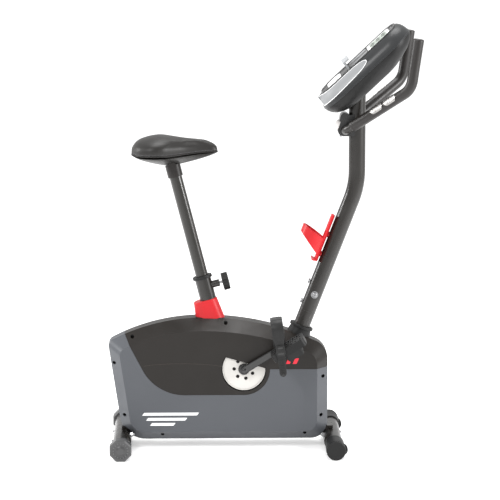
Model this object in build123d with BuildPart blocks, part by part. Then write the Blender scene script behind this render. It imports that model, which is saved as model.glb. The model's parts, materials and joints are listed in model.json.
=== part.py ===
"""Upright exercise bike, built as separate pieces in millimetres.

X points forward, from the saddle to the console. Y points to the rider's left.
Z points up from the floor. The origin is on the floor under the middle of the bike.
"""

import os
from math import acos, asin, atan2, cos, degrees, hypot, radians, sin, sqrt, tan

from build123d import *

os.makedirs("parts", exist_ok=True)

# ---------------------------------------------------------------- driving sizes
foot_span = 652.0  # rear stabilizer axis to front stabilizer axis
rear_foot_x = -435.5
front_foot_x = rear_foot_x + foot_span
stabilizer_width = 450.0
foot_tube_d = 50.0
foot_wall = 1.8
leveller_flats = 66.0  # across the flats of the octagonal rear caps
end_cap_d = 58.0  # round front caps
leveller_length = 40.0
end_cap_length = 92.0

seat_foot_x = -66.0  # where the seat tube axis meets the rail's top
seat_lean = 14.5  # degrees back from upright
seat_tube_d = 50.0
seat_tube_wall = 2.0
seat_tube_top = 474.0  # along its axis
post_d = 38.1
post_wall = 2.0
post_top = 834.0  # along the seat axis
pin_station = 448.0  # lock pin, along the seat axis
pin_d = 8.0
pin_hole_gap = 0.25
pin_pitch = 25.0
pins_above = 8  # holes above the one in use
pins_below = 3

mast_foot_x = 0.0
mast_lean = 21.1  # degrees forward from upright
mast_d = 50.8
mast_wall = 2.0
mast_upright_x = 287.5
mast_bend_r = 250.0
mast_joint = 383.0  # along the lower mast axis, where the tube meets its stub
mast_top_z = 1100.0
stub_spigot = 96.0

rail_width = 56.0
rail_height = 30.0
rail_bottom_z = 34.0

crank_x = -59.5
crank_z = 251.0
crank_length = 165.0
crank_tilt = 31.4  # degrees above level at rest
crank_inner_y = 79.0
crank_thick = 13.0
crank_pulley_r = 105.0
axle_d = 17.0
disc_r = 65.5
disc_y = 60.0
disc_thick = 5.0
pedal_width = 92.0
pedal_length = 112.0
pedal_thick = 24.0
strap_height = 107.0
spindle_d = 12.0

flywheel_x = -305.0
flywheel_z = 190.0
flywheel_r = 105.0
flywheel_half = 12.0
flywheel_pulley_r = 20.0
flywheel_axle_d = 12.0
belt_y = 44.0
belt_width = 8.0
belt_thick = 2.2

casing_rear_x = -476.5
casing_front_x = 199.0
casing_bottom_z = 22.5
casing_apex_x = -185.0
casing_apex_z = 405.0
crown_rear_r = 600.0
crown_front_r = 850.0
rear_slope = 8.6  # degrees the rear face leans under the casing
casing_half = 72.0  # flat side
ridge_half = 27.0  # level top and end band
bevel_drop = 34.0
casing_wall = 2.5
seam = 0.5  # gap between neighbouring casing pieces

bar_x = 249.0
bar_z = 981.0
bar_d = 25.4
bar_wall = 1.8
bar_bend_y = 42.0
bar_corner_x = 437.0
bar_corner_z = 1120.0
bar_tip_x = 458.0
bar_tip_z = 1266.0
grip_y = 165.0
grip_d = 33.0

console_x = 204.0  # lower end of the console's face
console_z = 1118.0
console_tilt = 43.2
console_length = 347.0
console_width = 190.0
console_start = -60.0
console_part_v = -41.0
console_back_v = -90.0
console_wall = 2.5

saddle_front_x = -134.5
saddle_rear_x = -401.5
saddle_top_z = 962.0
saddle_half = 104.0
saddle_floor_z = 893.0  # flat underside that the pan backs

# ---------------------------------------------------------------- clearances
running_fit = 0.05
slide_gap = 0.3
panel_gap = 3.0
touch_gap = 0.2

# ---------------------------------------------------------------- derived sizes
rear_foot_z = leveller_flats / 2
front_foot_z = end_cap_d / 2
foot_r = foot_tube_d / 2
rail_top_z = rail_bottom_z + rail_height
seat_tube_r = seat_tube_d / 2
post_r = post_d / 2
mast_r = mast_d / 2
bar_r = bar_d / 2
grip_r = grip_d / 2
half_width = stabilizer_width / 2

seat_axis = Plane(
    origin=(seat_foot_x, 0, rail_top_z),
    x_dir=(cos(radians(seat_lean)), 0, sin(radians(seat_lean))),
    z_dir=(-sin(radians(seat_lean)), 0, cos(radians(seat_lean))),
)
mast_axis = Plane(
    origin=(mast_foot_x, 0, rail_top_z),
    x_dir=(cos(radians(mast_lean)), 0, -sin(radians(mast_lean))),
    z_dir=(sin(radians(mast_lean)), 0, cos(radians(mast_lean))),
)
mast_side = Plane(origin=mast_axis.origin, x_dir=mast_axis.z_dir, z_dir=(0, 1, 0))
upright_axis = Plane(origin=(mast_upright_x, 0, 0), x_dir=(1, 0, 0), z_dir=(0, 0, 1))
console_side = Plane(
    origin=(console_x, 0, console_z),
    x_dir=(cos(radians(console_tilt)), 0, sin(radians(console_tilt))),
    z_dir=(0, -1, 0),
)
console_face = Plane(
    origin=(console_x, 0, console_z),
    x_dir=(cos(radians(console_tilt)), 0, sin(radians(console_tilt))),
    z_dir=(-sin(radians(console_tilt)), 0, cos(radians(console_tilt))),
)
crank_end_x = crank_x + crank_length * cos(radians(crank_tilt))
crank_end_z = crank_z + crank_length * sin(radians(crank_tilt))
mast_corner_z = rail_top_z + (mast_upright_x - mast_foot_x) / tan(radians(mast_lean))


# ---------------------------------------------------------------- helpers
def across(y):
    """The upright plane at this Y, with local axes X and Z; its normal is -Y."""
    return Plane.XZ.offset(-y)


def rod(x, z, radius, y_low, y_high):
    """A round bar along Y."""
    with BuildPart() as piece:
        with BuildSketch(across(y_high)):
            with Locations((x, z)):
                Circle(radius)
        extrude(amount=y_high - y_low)
    return piece.part


def tube_on(plane, radius, start, end):
    """A round bar along a plane's normal, between two stations."""
    with BuildPart() as piece:
        with BuildSketch(plane.offset(start)):
            Circle(radius)
        extrude(amount=end - start)
    return piece.part


def block(x_low, x_high, y_low, y_high, z_low, z_high):
    """A box given by its limits."""
    with BuildPart() as piece:
        with BuildSketch(Plane.XY.offset(z_low)):
            with Locations(((x_low + x_high) / 2, (y_low + y_high) / 2)):
                Rectangle(x_high - x_low, y_high - y_low)
        extrude(amount=z_high - z_low)
    return piece.part


def bolt(plane, radius, length, head_r, head_h):
    """A button-head bolt: the head stands out of the plane, the shank goes in."""
    with BuildPart() as piece:
        with BuildSketch(plane):
            Circle(head_r)
        extrude(amount=head_h)
        fillet(piece.faces().sort_by(Axis(plane.origin, plane.z_dir))[-1].edges(), head_h * 0.6)
        with BuildSketch(plane.offset(head_h)):
            RegularPolygon(radius * 0.6, 6)
        extrude(amount=-head_h * 0.6, mode=Mode.SUBTRACT)
        with BuildSketch(plane):
            Circle(radius)
        extrude(amount=-length)
    return piece.part


def side_point(plane, station):
    """The X and Z of a station along a plane's normal."""
    point = plane.from_local_coords((0, 0, station))
    return point.X, point.Z


def finish(name, builder):
    """Label a finished piece and write it."""
    builder.part.label = name
    export_step(builder.part, f"parts/{name}.step")


# ---------------------------------------------------------------- casing shape
def crown_z(x, inset):
    """Height of the casing's top at x, for an outline inset by this much."""
    radius = (crown_rear_r if x < casing_apex_x else crown_front_r) - inset
    return casing_apex_z - inset - radius + sqrt(radius**2 - (x - casing_apex_x) ** 2)


def casing_outline(plane, inset, corners):
    """The casing's outline, inset, with its four corner radii: rear top first, clockwise."""
    lean = tan(radians(rear_slope))
    rear_shift = inset / cos(radians(rear_slope))
    front = casing_front_x - inset
    bottom = casing_bottom_z + inset
    rear_top = casing_rear_x + rear_shift
    rear_top_z = crown_z(rear_top, inset)
    rear_low = rear_top + (rear_top_z - bottom) * lean
    with BuildSketch(plane) as outline:
        with BuildLine():
            rear = Line((rear_low, bottom), (rear_top, rear_top_z))
            crown_rear = RadiusArc(rear @ 1, (casing_apex_x, casing_apex_z - inset), crown_rear_r - inset)
            crown_front = RadiusArc(crown_rear @ 1, (front, crown_z(front, inset)), crown_front_r - inset)
            front_line = Line(crown_front @ 1, (front, bottom))
            Line(front_line @ 1, rear @ 0)
        make_face()
        spots = ((rear_top, rear_top_z), (front, crown_z(front, inset)), (front, bottom), (rear_low, bottom))
        for spot, radius in zip(spots, corners):
            fillet(outline.vertices().sort_by_distance((*spot, 0))[0], radius)
    return outline.sketch


def casing_volume(skin):
    """The casing's solid, moved in by skin (out, when negative)."""
    run = casing_half - ridge_half
    slope = hypot(run, bevel_drop)
    ridge = ridge_half - skin * (slope - run) / bevel_drop
    side = casing_half - skin
    side_inset = bevel_drop + skin * (slope - bevel_drop) / run
    outer = (22.0, 60.0, 50.0, 80.0)
    inner = (24.0, 48.0, 34.0, 44.0)
    with BuildPart() as volume:
        extrude(casing_outline(across(ridge), skin, outer), amount=2 * ridge)
        for way in (1, -1):
            wide = casing_outline(across(way * ridge), skin, outer)
            narrow = casing_outline(across(way * side), side_inset, inner)
            add(loft(Sketch() + [wide, narrow], ruled=True, mode=Mode.PRIVATE))
    return volume.part


casing_body = casing_volume(0.0)
casing_room = casing_volume(casing_wall)
casing_grown = casing_volume(-touch_gap)

# the dark upper panel's edge: down the rear, round the crank, level to the front
panel_r = 80.0
panel_floor = crank_z - panel_r
panel_rear_x = -428.0
panel_rear_z = 362.0
panel_low_x = -329.0
panel_low_r = 146.0


def panel_region(gap):
    """The upper panel's area seen from the side, shrunk by gap."""
    slant = hypot(panel_low_x - panel_rear_x, panel_rear_z - panel_floor)
    across_run = (panel_low_x - panel_rear_x) / slant
    down_run = (panel_rear_z - panel_floor) / slant
    floor_z = panel_floor + gap
    turn_r = panel_r - gap
    start_x = panel_rear_x + gap * down_run - 90 * across_run
    start_z = panel_rear_z + gap * across_run + 90 * down_run
    corner_x = start_x + (start_z - floor_z) * across_run / down_run
    right = casing_front_x + 10
    top = casing_apex_z + 60
    with BuildPart() as region:
        with BuildSketch(across(casing_half + 5)):
            with BuildLine():
                edge = FilletPolyline(
                    (start_x, start_z), (corner_x, floor_z), (crank_x, floor_z), radius=panel_low_r - gap
                )
                turn = CenterArc((crank_x, crank_z), turn_r, -90, 90 + degrees(asin(gap / turn_r)))
                Polyline(turn @ 1, (right, crank_z + gap), (right, top), (start_x, top), edge @ 0)
            make_face()
        extrude(amount=2 * (casing_half + 5))
    return region.part


upper_region = panel_region(0)
upper_region_small = panel_region(seam)

# screw places on the bevel: x and z
upper_screws = ((-401.0, 350.0), (-114.5, 391.0))
lower_screws = (
    (-457.0, 268.0), (-426.0, 106.0), (-309.5, 46.0),
    (184.0, 224.0), (178.0, 104.0), (128.0, 50.0),
)
screw_recess_r = 5.6
screw_r = 1.6
screw_head_r = 5.0
screw_seat_y = 18.0
boss_r = 8.0
rail_half = rail_width / 2 + panel_gap


def screw_seat(z):
    """How far out a screw's head sits, and how far in its shank goes: low ones stop at the rail."""
    if z < rail_top_z + boss_r + panel_gap:
        return rail_half + 8, rail_half - panel_gap + touch_gap
    return screw_seat_y, 1.0


window_r = disc_r + 3.0
cup_wall = 2.0
cup_floor_y = disc_y - 4.5
window_chord_z = 25.0  # above the crank axis
window_chord_tilt = -16.0
inlet_z = 92.0
inlet_y = 16.0
inlet_r = 6.0
inlet_plane = Plane(origin=(casing_front_x, inlet_y, inlet_z), x_dir=(0, 1, 0), z_dir=(1, 0, 0))

with BuildPart() as shell:
    add(casing_body)
    add(casing_room, mode=Mode.SUBTRACT)
    # screw bosses, trimmed to the casing's own shape
    with BuildPart(mode=Mode.PRIVATE) as bosses:
        for x, z in upper_screws + lower_screws:
            seat_y, inner_end = screw_seat(z)
            inner_y = inner_end if inner_end < rail_width / 2 else rail_half
            add(rod(x, z, boss_r, inner_y, casing_half))
            add(rod(x, z, boss_r, -casing_half, -inner_y))
        add(casing_body, mode=Mode.INTERSECT)
    add(bosses.part)
    # cups behind the crank windows
    for way in (-1, 1):
        low, high = sorted((way * cup_floor_y, way * (casing_half - casing_wall / 2)))
        add(rod(crank_x, crank_z, window_r + cup_wall, low, high))
        low, high = sorted((way * (cup_floor_y + cup_wall), way * (casing_half - casing_wall)))
        add(rod(crank_x, crank_z, window_r, low, high), mode=Mode.SUBTRACT)
        low, high = sorted((way * cup_floor_y, way * (cup_floor_y + cup_wall)))
        add(rod(crank_x, crank_z, 24.0, low - 1, high + 1), mode=Mode.SUBTRACT)
    # windows: a round opening closed above a slanted chord
    with BuildPart(mode=Mode.PRIVATE) as window:
        with BuildSketch(across(casing_half + 2)):
            with Locations((crank_x, crank_z)):
                Circle(window_r)
            with Locations(Location((crank_x, crank_z + window_chord_z + window_r), window_chord_tilt)):
                Rectangle(4 * window_r, 2 * window_r, mode=Mode.SUBTRACT)
        extrude(amount=2 * casing_half + 4)
        add(block(-500, 500, -cup_floor_y - 4, cup_floor_y + 4, 0, 500), mode=Mode.SUBTRACT)
    add(window.part, mode=Mode.SUBTRACT)
    # screw recesses and pilot holes
    for x, z in upper_screws + lower_screws:
        seat_y, inner_end = screw_seat(z)
        for way in (-1, 1):
            low, high = sorted((way * seat_y, way * (casing_half + 5)))
            add(rod(x, z, screw_recess_r, low, high), mode=Mode.SUBTRACT)
        add(rod(x, z, screw_r, -seat_y - 1, seat_y + 1), mode=Mode.SUBTRACT)
    # where the frame comes through
    add(tube_on(seat_axis, seat_tube_r + panel_gap, 200, 500), mode=Mode.SUBTRACT)
    add(tube_on(mast_axis, mast_r + panel_gap, 200, 500), mode=Mode.SUBTRACT)
    add(
        block(rear_foot_x - 30, front_foot_x + 30, -rail_half, rail_half, 0, rail_bottom_z - 1),
        mode=Mode.SUBTRACT,
    )
    for foot_x, foot_z in ((rear_foot_x, rear_foot_z), (front_foot_x, front_foot_z)):
        add(rod(foot_x, foot_z, foot_r + 10, -casing_half - 5, casing_half + 5), mode=Mode.SUBTRACT)
        way = 1 if foot_x < 0 else -1
        low, high = sorted((foot_x, foot_x + way * 95))
        add(block(low, high, -rail_half, rail_half, 0, rail_top_z + panel_gap), mode=Mode.SUBTRACT)
    add(tube_on(inlet_plane, inlet_r + touch_gap, -20, 5), mode=Mode.SUBTRACT)

with BuildPart() as left_side:
    Box(1200, 300, 900, align=(Align.CENTER, Align.MIN, Align.CENTER))
with BuildPart() as right_side:
    Box(1200, 300, 900, align=(Align.CENTER, Align.MAX, Align.CENTER))

for side_name, half in (("right", right_side), ("left", left_side)):
    way = -1 if side_name == "right" else 1
    kept_half = half.part.moved(Location((0, way * seam / 2, 0)))
    with BuildPart() as upper_shroud:
        add(shell.part)
        add(kept_half, mode=Mode.INTERSECT)
        add(upper_region_small, mode=Mode.INTERSECT)
    finish(f"upper_shroud_{side_name}", upper_shroud)
    with BuildPart() as lower_shroud:
        add(shell.part)
        add(kept_half, mode=Mode.INTERSECT)
        add(upper_region, mode=Mode.SUBTRACT)
    finish(f"lower_shroud_{side_name}", lower_shroud)

with BuildPart() as shroud_screws:
    for x, z in upper_screws + lower_screws:
        seat_y, inner_end = screw_seat(z)
        for way in (-1, 1):
            low, high = sorted((way * seat_y, way * (seat_y + 2.4)))
            add(rod(x, z, screw_head_r, low, high))
            low, high = sorted((way * inner_end, way * seat_y))
            add(rod(x, z, screw_r, low, high))
finish("shroud_screws", shroud_screws)

# ---------------------------------------------------------------- welded frame
cradle_half = 92.0
cradle_thick = 5.0
cradle_low = -42.0  # degrees round the stabilizer, from level
cradle_high = 62.0
foot_bolt_y = 62.0
foot_bolt_tilt = 24.0
foot_bolt_r = 4.0
bolt_gap = 0.3
bearing_r = 14.0
bearing_width = 8.0
cheek_y = 19.0  # inner face of the wheel bracket's plates
cheek_thick = 5.0
shell_outer_r = 22.0
shell_half = 33.0
crank_bearing_r = 17.5
crank_bearing_width = 12.0
foot_places = (
    ("rear", rear_foot_x, rear_foot_z, 1),
    ("front", front_foot_x, front_foot_z, -1),
)


def bolt_plane(foot_x, foot_z, way, y, reach):
    """A plane on a stabilizer bolt's axis, reach outward from the tube's middle."""
    out_x = way * cos(radians(foot_bolt_tilt))
    out_z = sin(radians(foot_bolt_tilt))
    return Plane(
        origin=(foot_x + reach * out_x, y, foot_z + reach * out_z), x_dir=(0, 1, 0), z_dir=(out_x, 0, out_z)
    )


def cradle(foot_x, foot_z, way):
    """A curved plate that sits against the inner side of a stabilizer."""
    inner_r = foot_r + touch_gap
    with BuildPart() as plate:
        with BuildSketch(across(cradle_half)):
            with Locations((foot_x, foot_z)):
                Circle(inner_r + cradle_thick)
                Circle(inner_r, mode=Mode.SUBTRACT)
            reach = 3 * foot_r
            corners = [(foot_x, foot_z)]
            for angle in (cradle_low, cradle_high):
                rise = reach * sin(radians(angle))
                corners.append((foot_x + way * reach * cos(radians(angle)), foot_z + rise))
            with BuildLine():
                Polyline(*corners, close=True)
            make_face(mode=Mode.INTERSECT)
        extrude(amount=2 * cradle_half)
        for y in (-foot_bolt_y, foot_bolt_y):
            hole = bolt_plane(foot_x, foot_z, way, y, 0)
            add(tube_on(hole, foot_bolt_r + bolt_gap, 0, 60), mode=Mode.SUBTRACT)
    return plate.part


with BuildPart() as base_rail:
    add(block(rear_foot_x, front_foot_x, -rail_width / 2, rail_width / 2, rail_bottom_z, rail_top_z))
    add(
        block(
            rear_foot_x - 1, front_foot_x + 1,
            -rail_width / 2 + 2, rail_width / 2 - 2, rail_bottom_z + 2, rail_top_z - 2,
        ),
        mode=Mode.SUBTRACT,
    )
    for _, foot_x, foot_z, way in foot_places:
        add(rod(foot_x, foot_z, foot_r + touch_gap + 1, -rail_width, rail_width), mode=Mode.SUBTRACT)
        add(cradle(foot_x, foot_z, way))
    # two plates that carry the flywheel's bearings
    for way in (-1, 1):
        low, high = sorted((way * cheek_y, way * (cheek_y + cheek_thick)))
        with BuildPart(mode=Mode.PRIVATE) as cheek:
            with BuildSketch(across(high)):
                with BuildLine():
                    Polyline(
                        (flywheel_x - 70, rail_top_z - 1), (flywheel_x + 70, rail_top_z - 1),
                        (flywheel_x + 26, flywheel_z), (flywheel_x - 26, flywheel_z), close=True,
                    )
                make_face()
                with Locations((flywheel_x, flywheel_z)):
                    Circle(26)
            extrude(amount=high - low)
        add(cheek.part)
        housing = sorted((way * cheek_y, way * (cheek_y + bearing_width)))
        add(rod(flywheel_x, flywheel_z, bearing_r + 4, *housing))
    add(rod(flywheel_x, flywheel_z, bearing_r, -cheek_y - 20, cheek_y + 20), mode=Mode.SUBTRACT)
finish("base_rail", base_rail)

arm_pivot_x = -224.0
arm_pivot_z = 290.0
arm_pin_r = 4.0
ear_y = 20.0
ear_thick = 4.0
boss_tall = 22.0
boss_lip = 3.0
boss_r_pin = 11.0
pin_plane = Plane(
    origin=seat_axis.from_local_coords((0, 0, pin_station)),
    x_dir=(0, 1, 0),
    z_dir=seat_axis.x_dir,
)
with BuildPart() as seat_tube:
    add(tube_on(seat_axis, seat_tube_r, 0, seat_tube_top))
    # threaded boss for the lock pin
    add(tube_on(pin_plane, boss_r_pin, seat_tube_r - 4, seat_tube_r + boss_tall))
    # bottom bracket shell with its gusset
    with BuildPart(mode=Mode.PRIVATE) as gusset:
        with BuildSketch(across(3)):
            with BuildLine():
                Polyline(
                    side_point(seat_axis, 120),
                    (crank_x, crank_z - shell_outer_r + 4), (crank_x, crank_z + shell_outer_r - 4),
                    side_point(seat_axis, 260), close=True,
                )
            make_face()
        extrude(amount=6)
    add(gusset.part)
    add(rod(crank_x, crank_z, shell_outer_r, -shell_half, shell_half))
    # ears for the magnet arm's pivot and its motor
    for way in (-1, 1):
        low, high = sorted((way * ear_y, way * (ear_y + ear_thick)))
        with BuildPart(mode=Mode.PRIVATE) as ear:
            with BuildSketch(across(high)):
                with BuildLine():
                    Polyline(
                        (arm_pivot_x - 12, arm_pivot_z), (arm_pivot_x - 12, arm_pivot_z + 76),
                        side_point(seat_axis, 310),
                        side_point(seat_axis, 200),
                        (arm_pivot_x + 10, arm_pivot_z - 12), close=True,
                    )
                make_face()
                with Locations((arm_pivot_x, arm_pivot_z)):
                    Circle(12)
            extrude(amount=high - low)
        add(ear.part)
    add(tube_on(seat_axis, seat_tube_r - seat_tube_wall, 2, seat_tube_top + 1), mode=Mode.SUBTRACT)
    add(rod(crank_x, crank_z, crank_bearing_r, -shell_half - 1, shell_half + 1), mode=Mode.SUBTRACT)
    add(rod(arm_pivot_x, arm_pivot_z, arm_pin_r + running_fit, -ear_y - 5, ear_y + 5), mode=Mode.SUBTRACT)
    add(tube_on(pin_plane, pin_d / 2 + running_fit, 0, seat_tube_r + boss_tall + 1), mode=Mode.SUBTRACT)
    add(tube_on(pin_plane, 8.0, seat_tube_r + 2, seat_tube_r + boss_tall - boss_lip), mode=Mode.SUBTRACT)
    add(block(-500, 500, -50, 50, rail_top_z - 50, rail_top_z), mode=Mode.SUBTRACT)
finish("seat_tube", seat_tube)

stub_gap = 0.1
mast_bolt_r = 4.0
side_bolt_s = 439.5
rear_bolts_s = (406.0, 471.0)
with BuildPart() as mast_stub:
    add(tube_on(mast_axis, mast_r, -20, mast_joint - touch_gap))
    add(tube_on(mast_axis, mast_r - mast_wall - stub_gap, 0, mast_joint + stub_spigot))
    spigot_bore_r = mast_r - 2 * mast_wall - stub_gap
    add(tube_on(mast_axis, spigot_bore_r, -30, mast_joint + stub_spigot + 1), mode=Mode.SUBTRACT)
    add(block(-500, 500, -50, 50, rail_top_z - 80, rail_top_z), mode=Mode.SUBTRACT)
    for s in rear_bolts_s:
        hole = Plane(origin=mast_axis.from_local_coords((0, 0, s)), x_dir=(0, 1, 0), z_dir=-mast_axis.x_dir)
        add(tube_on(hole, mast_bolt_r, 0, mast_r + 5), mode=Mode.SUBTRACT)
    side_point_s = mast_axis.from_local_coords((0, 0, side_bolt_s))
    hole = Plane(origin=side_point_s, x_dir=mast_axis.z_dir, z_dir=(0, 1, 0))
    add(tube_on(hole, mast_bolt_r, -mast_r - 5, mast_r + 5), mode=Mode.SUBTRACT)
finish("mast_stub", mast_stub)

# ---------------------------------------------------------------- stabilizers
cap_overlap = 22.0  # how far a cap goes into or over the tube
for place, foot_x, foot_z, way in foot_places:
    tube_half = half_width - (leveller_length if place == "rear" else end_cap_length) + cap_overlap
    with BuildPart() as stabilizer:
        add(rod(foot_x, foot_z, foot_r, -tube_half, tube_half))
        add(rod(foot_x, foot_z, foot_r - foot_wall, -tube_half - 1, tube_half + 1), mode=Mode.SUBTRACT)
        for y in (-foot_bolt_y, foot_bolt_y):
            hole = bolt_plane(foot_x, foot_z, way, y, 0)
            add(tube_on(hole, foot_bolt_r + bolt_gap, -40, 40), mode=Mode.SUBTRACT)
    finish(f"{place}_stabilizer", stabilizer)

washer_thick = 1.6
nut_h = 6.0
with BuildPart() as stabilizer_bolts:
    for _, foot_x, foot_z, way in foot_places:
        for y in (-foot_bolt_y, foot_bolt_y):
            face = foot_r + touch_gap + cradle_thick
            add(tube_on(bolt_plane(foot_x, foot_z, way, y, 0), foot_bolt_r, -foot_r - 2, face + 5))
            add(tube_on(bolt_plane(foot_x, foot_z, way, y, 0), 9.0, -foot_r - 4.5, -foot_r - 0.8))
            add(tube_on(bolt_plane(foot_x, foot_z, way, y, face), 8.5, 0.6, 0.6 + washer_thick))
            with BuildPart(mode=Mode.PRIVATE) as nut:
                with BuildSketch(bolt_plane(foot_x, foot_z, way, y, face + 0.6 + washer_thick)):
                    RegularPolygon(7.0, 6)
                extrude(amount=nut_h)
                nut_top = face + 0.6 + washer_thick + nut_h
                with Locations(bolt_plane(foot_x, foot_z, way, y, nut_top).location):
                    Sphere(5.6)
            add(nut.part)
finish("stabilizer_bolts", stabilizer_bolts)

# rear caps: octagonal, turning on the tube to level the bike
for side_name, way in (("right", -1), ("left", 1)):
    outer_y = way * half_width
    inner_y = way * (half_width - leveller_length)
    low, high = sorted((outer_y, inner_y))
    with BuildPart() as leveller:
        with BuildSketch(across(high)):
            with Locations((rear_foot_x, rear_foot_z)):
                RegularPolygon(leveller_flats / 2, 8, major_radius=False, rotation=22.5)
        extrude(amount=leveller_length)
        chamfer(leveller.faces().filter_by(Axis.Y).edges(), 4.0)
        mouth = sorted((inner_y - way, inner_y + way * (cap_overlap + slide_gap)))
        add(rod(rear_foot_x, rear_foot_z, foot_r + running_fit, *mouth), mode=Mode.SUBTRACT)
        dish = sorted((outer_y - way * 3.0, outer_y + way))
        add(rod(rear_foot_x, rear_foot_z, 23.0, *dish), mode=Mode.SUBTRACT)
        with BuildPart(mode=Mode.PRIVATE) as dome:
            with Locations(Location((rear_foot_x, outer_y - way * 29.0, rear_foot_z))):
                Sphere(30.0)
            add(
                rod(rear_foot_x, rear_foot_z, 20.0, *sorted((outer_y - way * 4.0, outer_y - way * 0.2))),
                mode=Mode.INTERSECT,
            )
        add(dome.part)
    finish(f"rear_leveller_{side_name}", leveller)

# front caps: long round sleeves, each with a small wheel let into its front
wheel_r = 19.0
wheel_width = 14.0
wheel_in = 52.0  # wheel's middle, in from the bike's side
wheel_x = front_foot_x + 19.0
wheel_z = front_foot_z - 6.0
wheel_pin_r = 3.0
with BuildPart() as front_end_caps:
    for way in (-1, 1):
        outer_y = way * half_width
        inner_y = way * (half_width - end_cap_length)
        with BuildPart(mode=Mode.PRIVATE) as cap:
            add(rod(front_foot_x, front_foot_z, end_cap_d / 2, *sorted((outer_y, inner_y))))
            fillet(cap.faces().filter_by(Axis.Y).edges(), 3.0)
            # cheeks that hold the wheel
            low, high = sorted((outer_y - way * (wheel_in - 14), outer_y - way * (wheel_in + 14)))
            add(rod(wheel_x, wheel_z, 13.0, low, high))
            add(
                rod(front_foot_x, front_foot_z, foot_r + touch_gap, *sorted((inner_y - way, inner_y + way * cap_overlap))),
                mode=Mode.SUBTRACT,
            )
            low, high = sorted((
                outer_y - way * (wheel_in - wheel_width / 2 - 1), outer_y - way * (wheel_in + wheel_width / 2 + 1)
            ))
            add(rod(wheel_x, wheel_z, wheel_r + 2.0, low, high), mode=Mode.SUBTRACT)
            add(rod(wheel_x, wheel_z, wheel_pin_r, low - 2, high + 2))
        add(cap.part)
finish("front_end_caps", front_end_caps)
for side_name, way in (("right", -1), ("left", 1)):
    middle = way * (half_width - wheel_in)
    with BuildPart() as wheel:
        add(rod(wheel_x, wheel_z, wheel_r, middle - wheel_width / 2, middle + wheel_width / 2))
        fillet(wheel.faces().filter_by(Axis.Y).edges(), 2.0)
        for face_way in (-1, 1):
            low, high = sorted(
                (middle + face_way * (wheel_width / 2 - 2.5), middle + face_way * wheel_width)
            )
            with BuildPart(mode=Mode.PRIVATE) as recess:
                add(rod(wheel_x, wheel_z, wheel_r - 5, low, high))
                add(rod(wheel_x, wheel_z, wheel_pin_r + 3, low, high), mode=Mode.SUBTRACT)
            add(recess.part, mode=Mode.SUBTRACT)
        add(
            rod(wheel_x, wheel_z, wheel_pin_r + running_fit, middle - wheel_width, middle + wheel_width),
            mode=Mode.SUBTRACT,
        )
    finish(f"transport_wheel_{side_name}", wheel)

# ---------------------------------------------------------------- crank and drive
crank_bearing_y = shell_half - crank_bearing_width
with BuildPart() as bearings:
    for way in (-1, 1):
        span = sorted((way * crank_bearing_y, way * shell_half))
        with BuildPart(mode=Mode.PRIVATE) as bearing:
            add(rod(crank_x, crank_z, crank_bearing_r, *span))
            add(rod(crank_x, crank_z, axle_d / 2 + running_fit, *span), mode=Mode.SUBTRACT)
        add(bearing.part)
        span = sorted((way * cheek_y, way * (cheek_y + bearing_width)))
        with BuildPart(mode=Mode.PRIVATE) as bearing:
            add(rod(flywheel_x, flywheel_z, bearing_r, *span))
            add(rod(flywheel_x, flywheel_z, flywheel_axle_d / 2 + running_fit, *span), mode=Mode.SUBTRACT)
        add(bearing.part)
finish("bearings", bearings)

crank_outer_y = crank_inner_y + crank_thick
taper_d = 12.0
with BuildPart() as crank_axle:
    add(rod(crank_x, crank_z, axle_d / 2, -crank_inner_y, crank_inner_y))
    add(rod(crank_x, crank_z, taper_d / 2, -crank_outer_y + 1, crank_outer_y - 1))
    # flange that the drive pulley is screwed to
    add(rod(crank_x, crank_z, 24.0, belt_y + belt_width / 2 + 2, belt_y + belt_width / 2 + 5))
finish("crank_axle", crank_axle)

pulley_gap = 0.3
with BuildPart() as drive_pulley:
    low = belt_y - belt_width / 2 - 2
    high = belt_y + belt_width / 2 + 2
    add(rod(crank_x, crank_z, crank_pulley_r, low, high))
    add(rod(crank_x, crank_z, crank_pulley_r - 10, low - 1, low + 4), mode=Mode.SUBTRACT)
    add(rod(crank_x, crank_z, crank_pulley_r - 10, high - 4, high + 1), mode=Mode.SUBTRACT)
    add(rod(crank_x, crank_z, 26.0, low, high))
    with BuildPart(mode=Mode.PRIVATE) as lightening:
        with BuildSketch(across(high + 1)):
            with Locations((crank_x, crank_z)):
                with PolarLocations(58.0, 6):
                    Circle(17.0)
        extrude(amount=high - low + 2)
    add(lightening.part, mode=Mode.SUBTRACT)
    add(rod(crank_x, crank_z, axle_d / 2, low - 1, high + 1), mode=Mode.SUBTRACT)
finish("drive_pulley", drive_pulley)

with BuildPart() as flywheel:
    add(rod(flywheel_x, flywheel_z, flywheel_r, -flywheel_half, flywheel_half))
    for way in (-1, 1):
        low, high = sorted((way * 4, way * (flywheel_half + 1)))
        with BuildPart(mode=Mode.PRIVATE) as dish:
            add(rod(flywheel_x, flywheel_z, flywheel_r - 26, low, high))
            add(rod(flywheel_x, flywheel_z, 20.0, low, high), mode=Mode.SUBTRACT)
        add(dish.part, mode=Mode.SUBTRACT)
    bore = (-flywheel_half - 1, flywheel_half + 1)
    add(rod(flywheel_x, flywheel_z, flywheel_axle_d / 2, *bore), mode=Mode.SUBTRACT)
finish("flywheel", flywheel)

with BuildPart() as flywheel_axle:
    half_belt = belt_width / 2 + 1.0
    axle_span = (-cheek_y - bearing_width - 3, belt_y + half_belt + 2)
    add(rod(flywheel_x, flywheel_z, flywheel_axle_d / 2, *axle_span))
    add(rod(flywheel_x, flywheel_z, flywheel_pulley_r, belt_y - half_belt, belt_y + half_belt))
    for way in (-1, 1):
        low, high = sorted((belt_y + way * half_belt, belt_y + way * (half_belt + 2)))
        add(rod(flywheel_x, flywheel_z, flywheel_pulley_r + 3, low, high))
finish("flywheel_axle", flywheel_axle)

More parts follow.
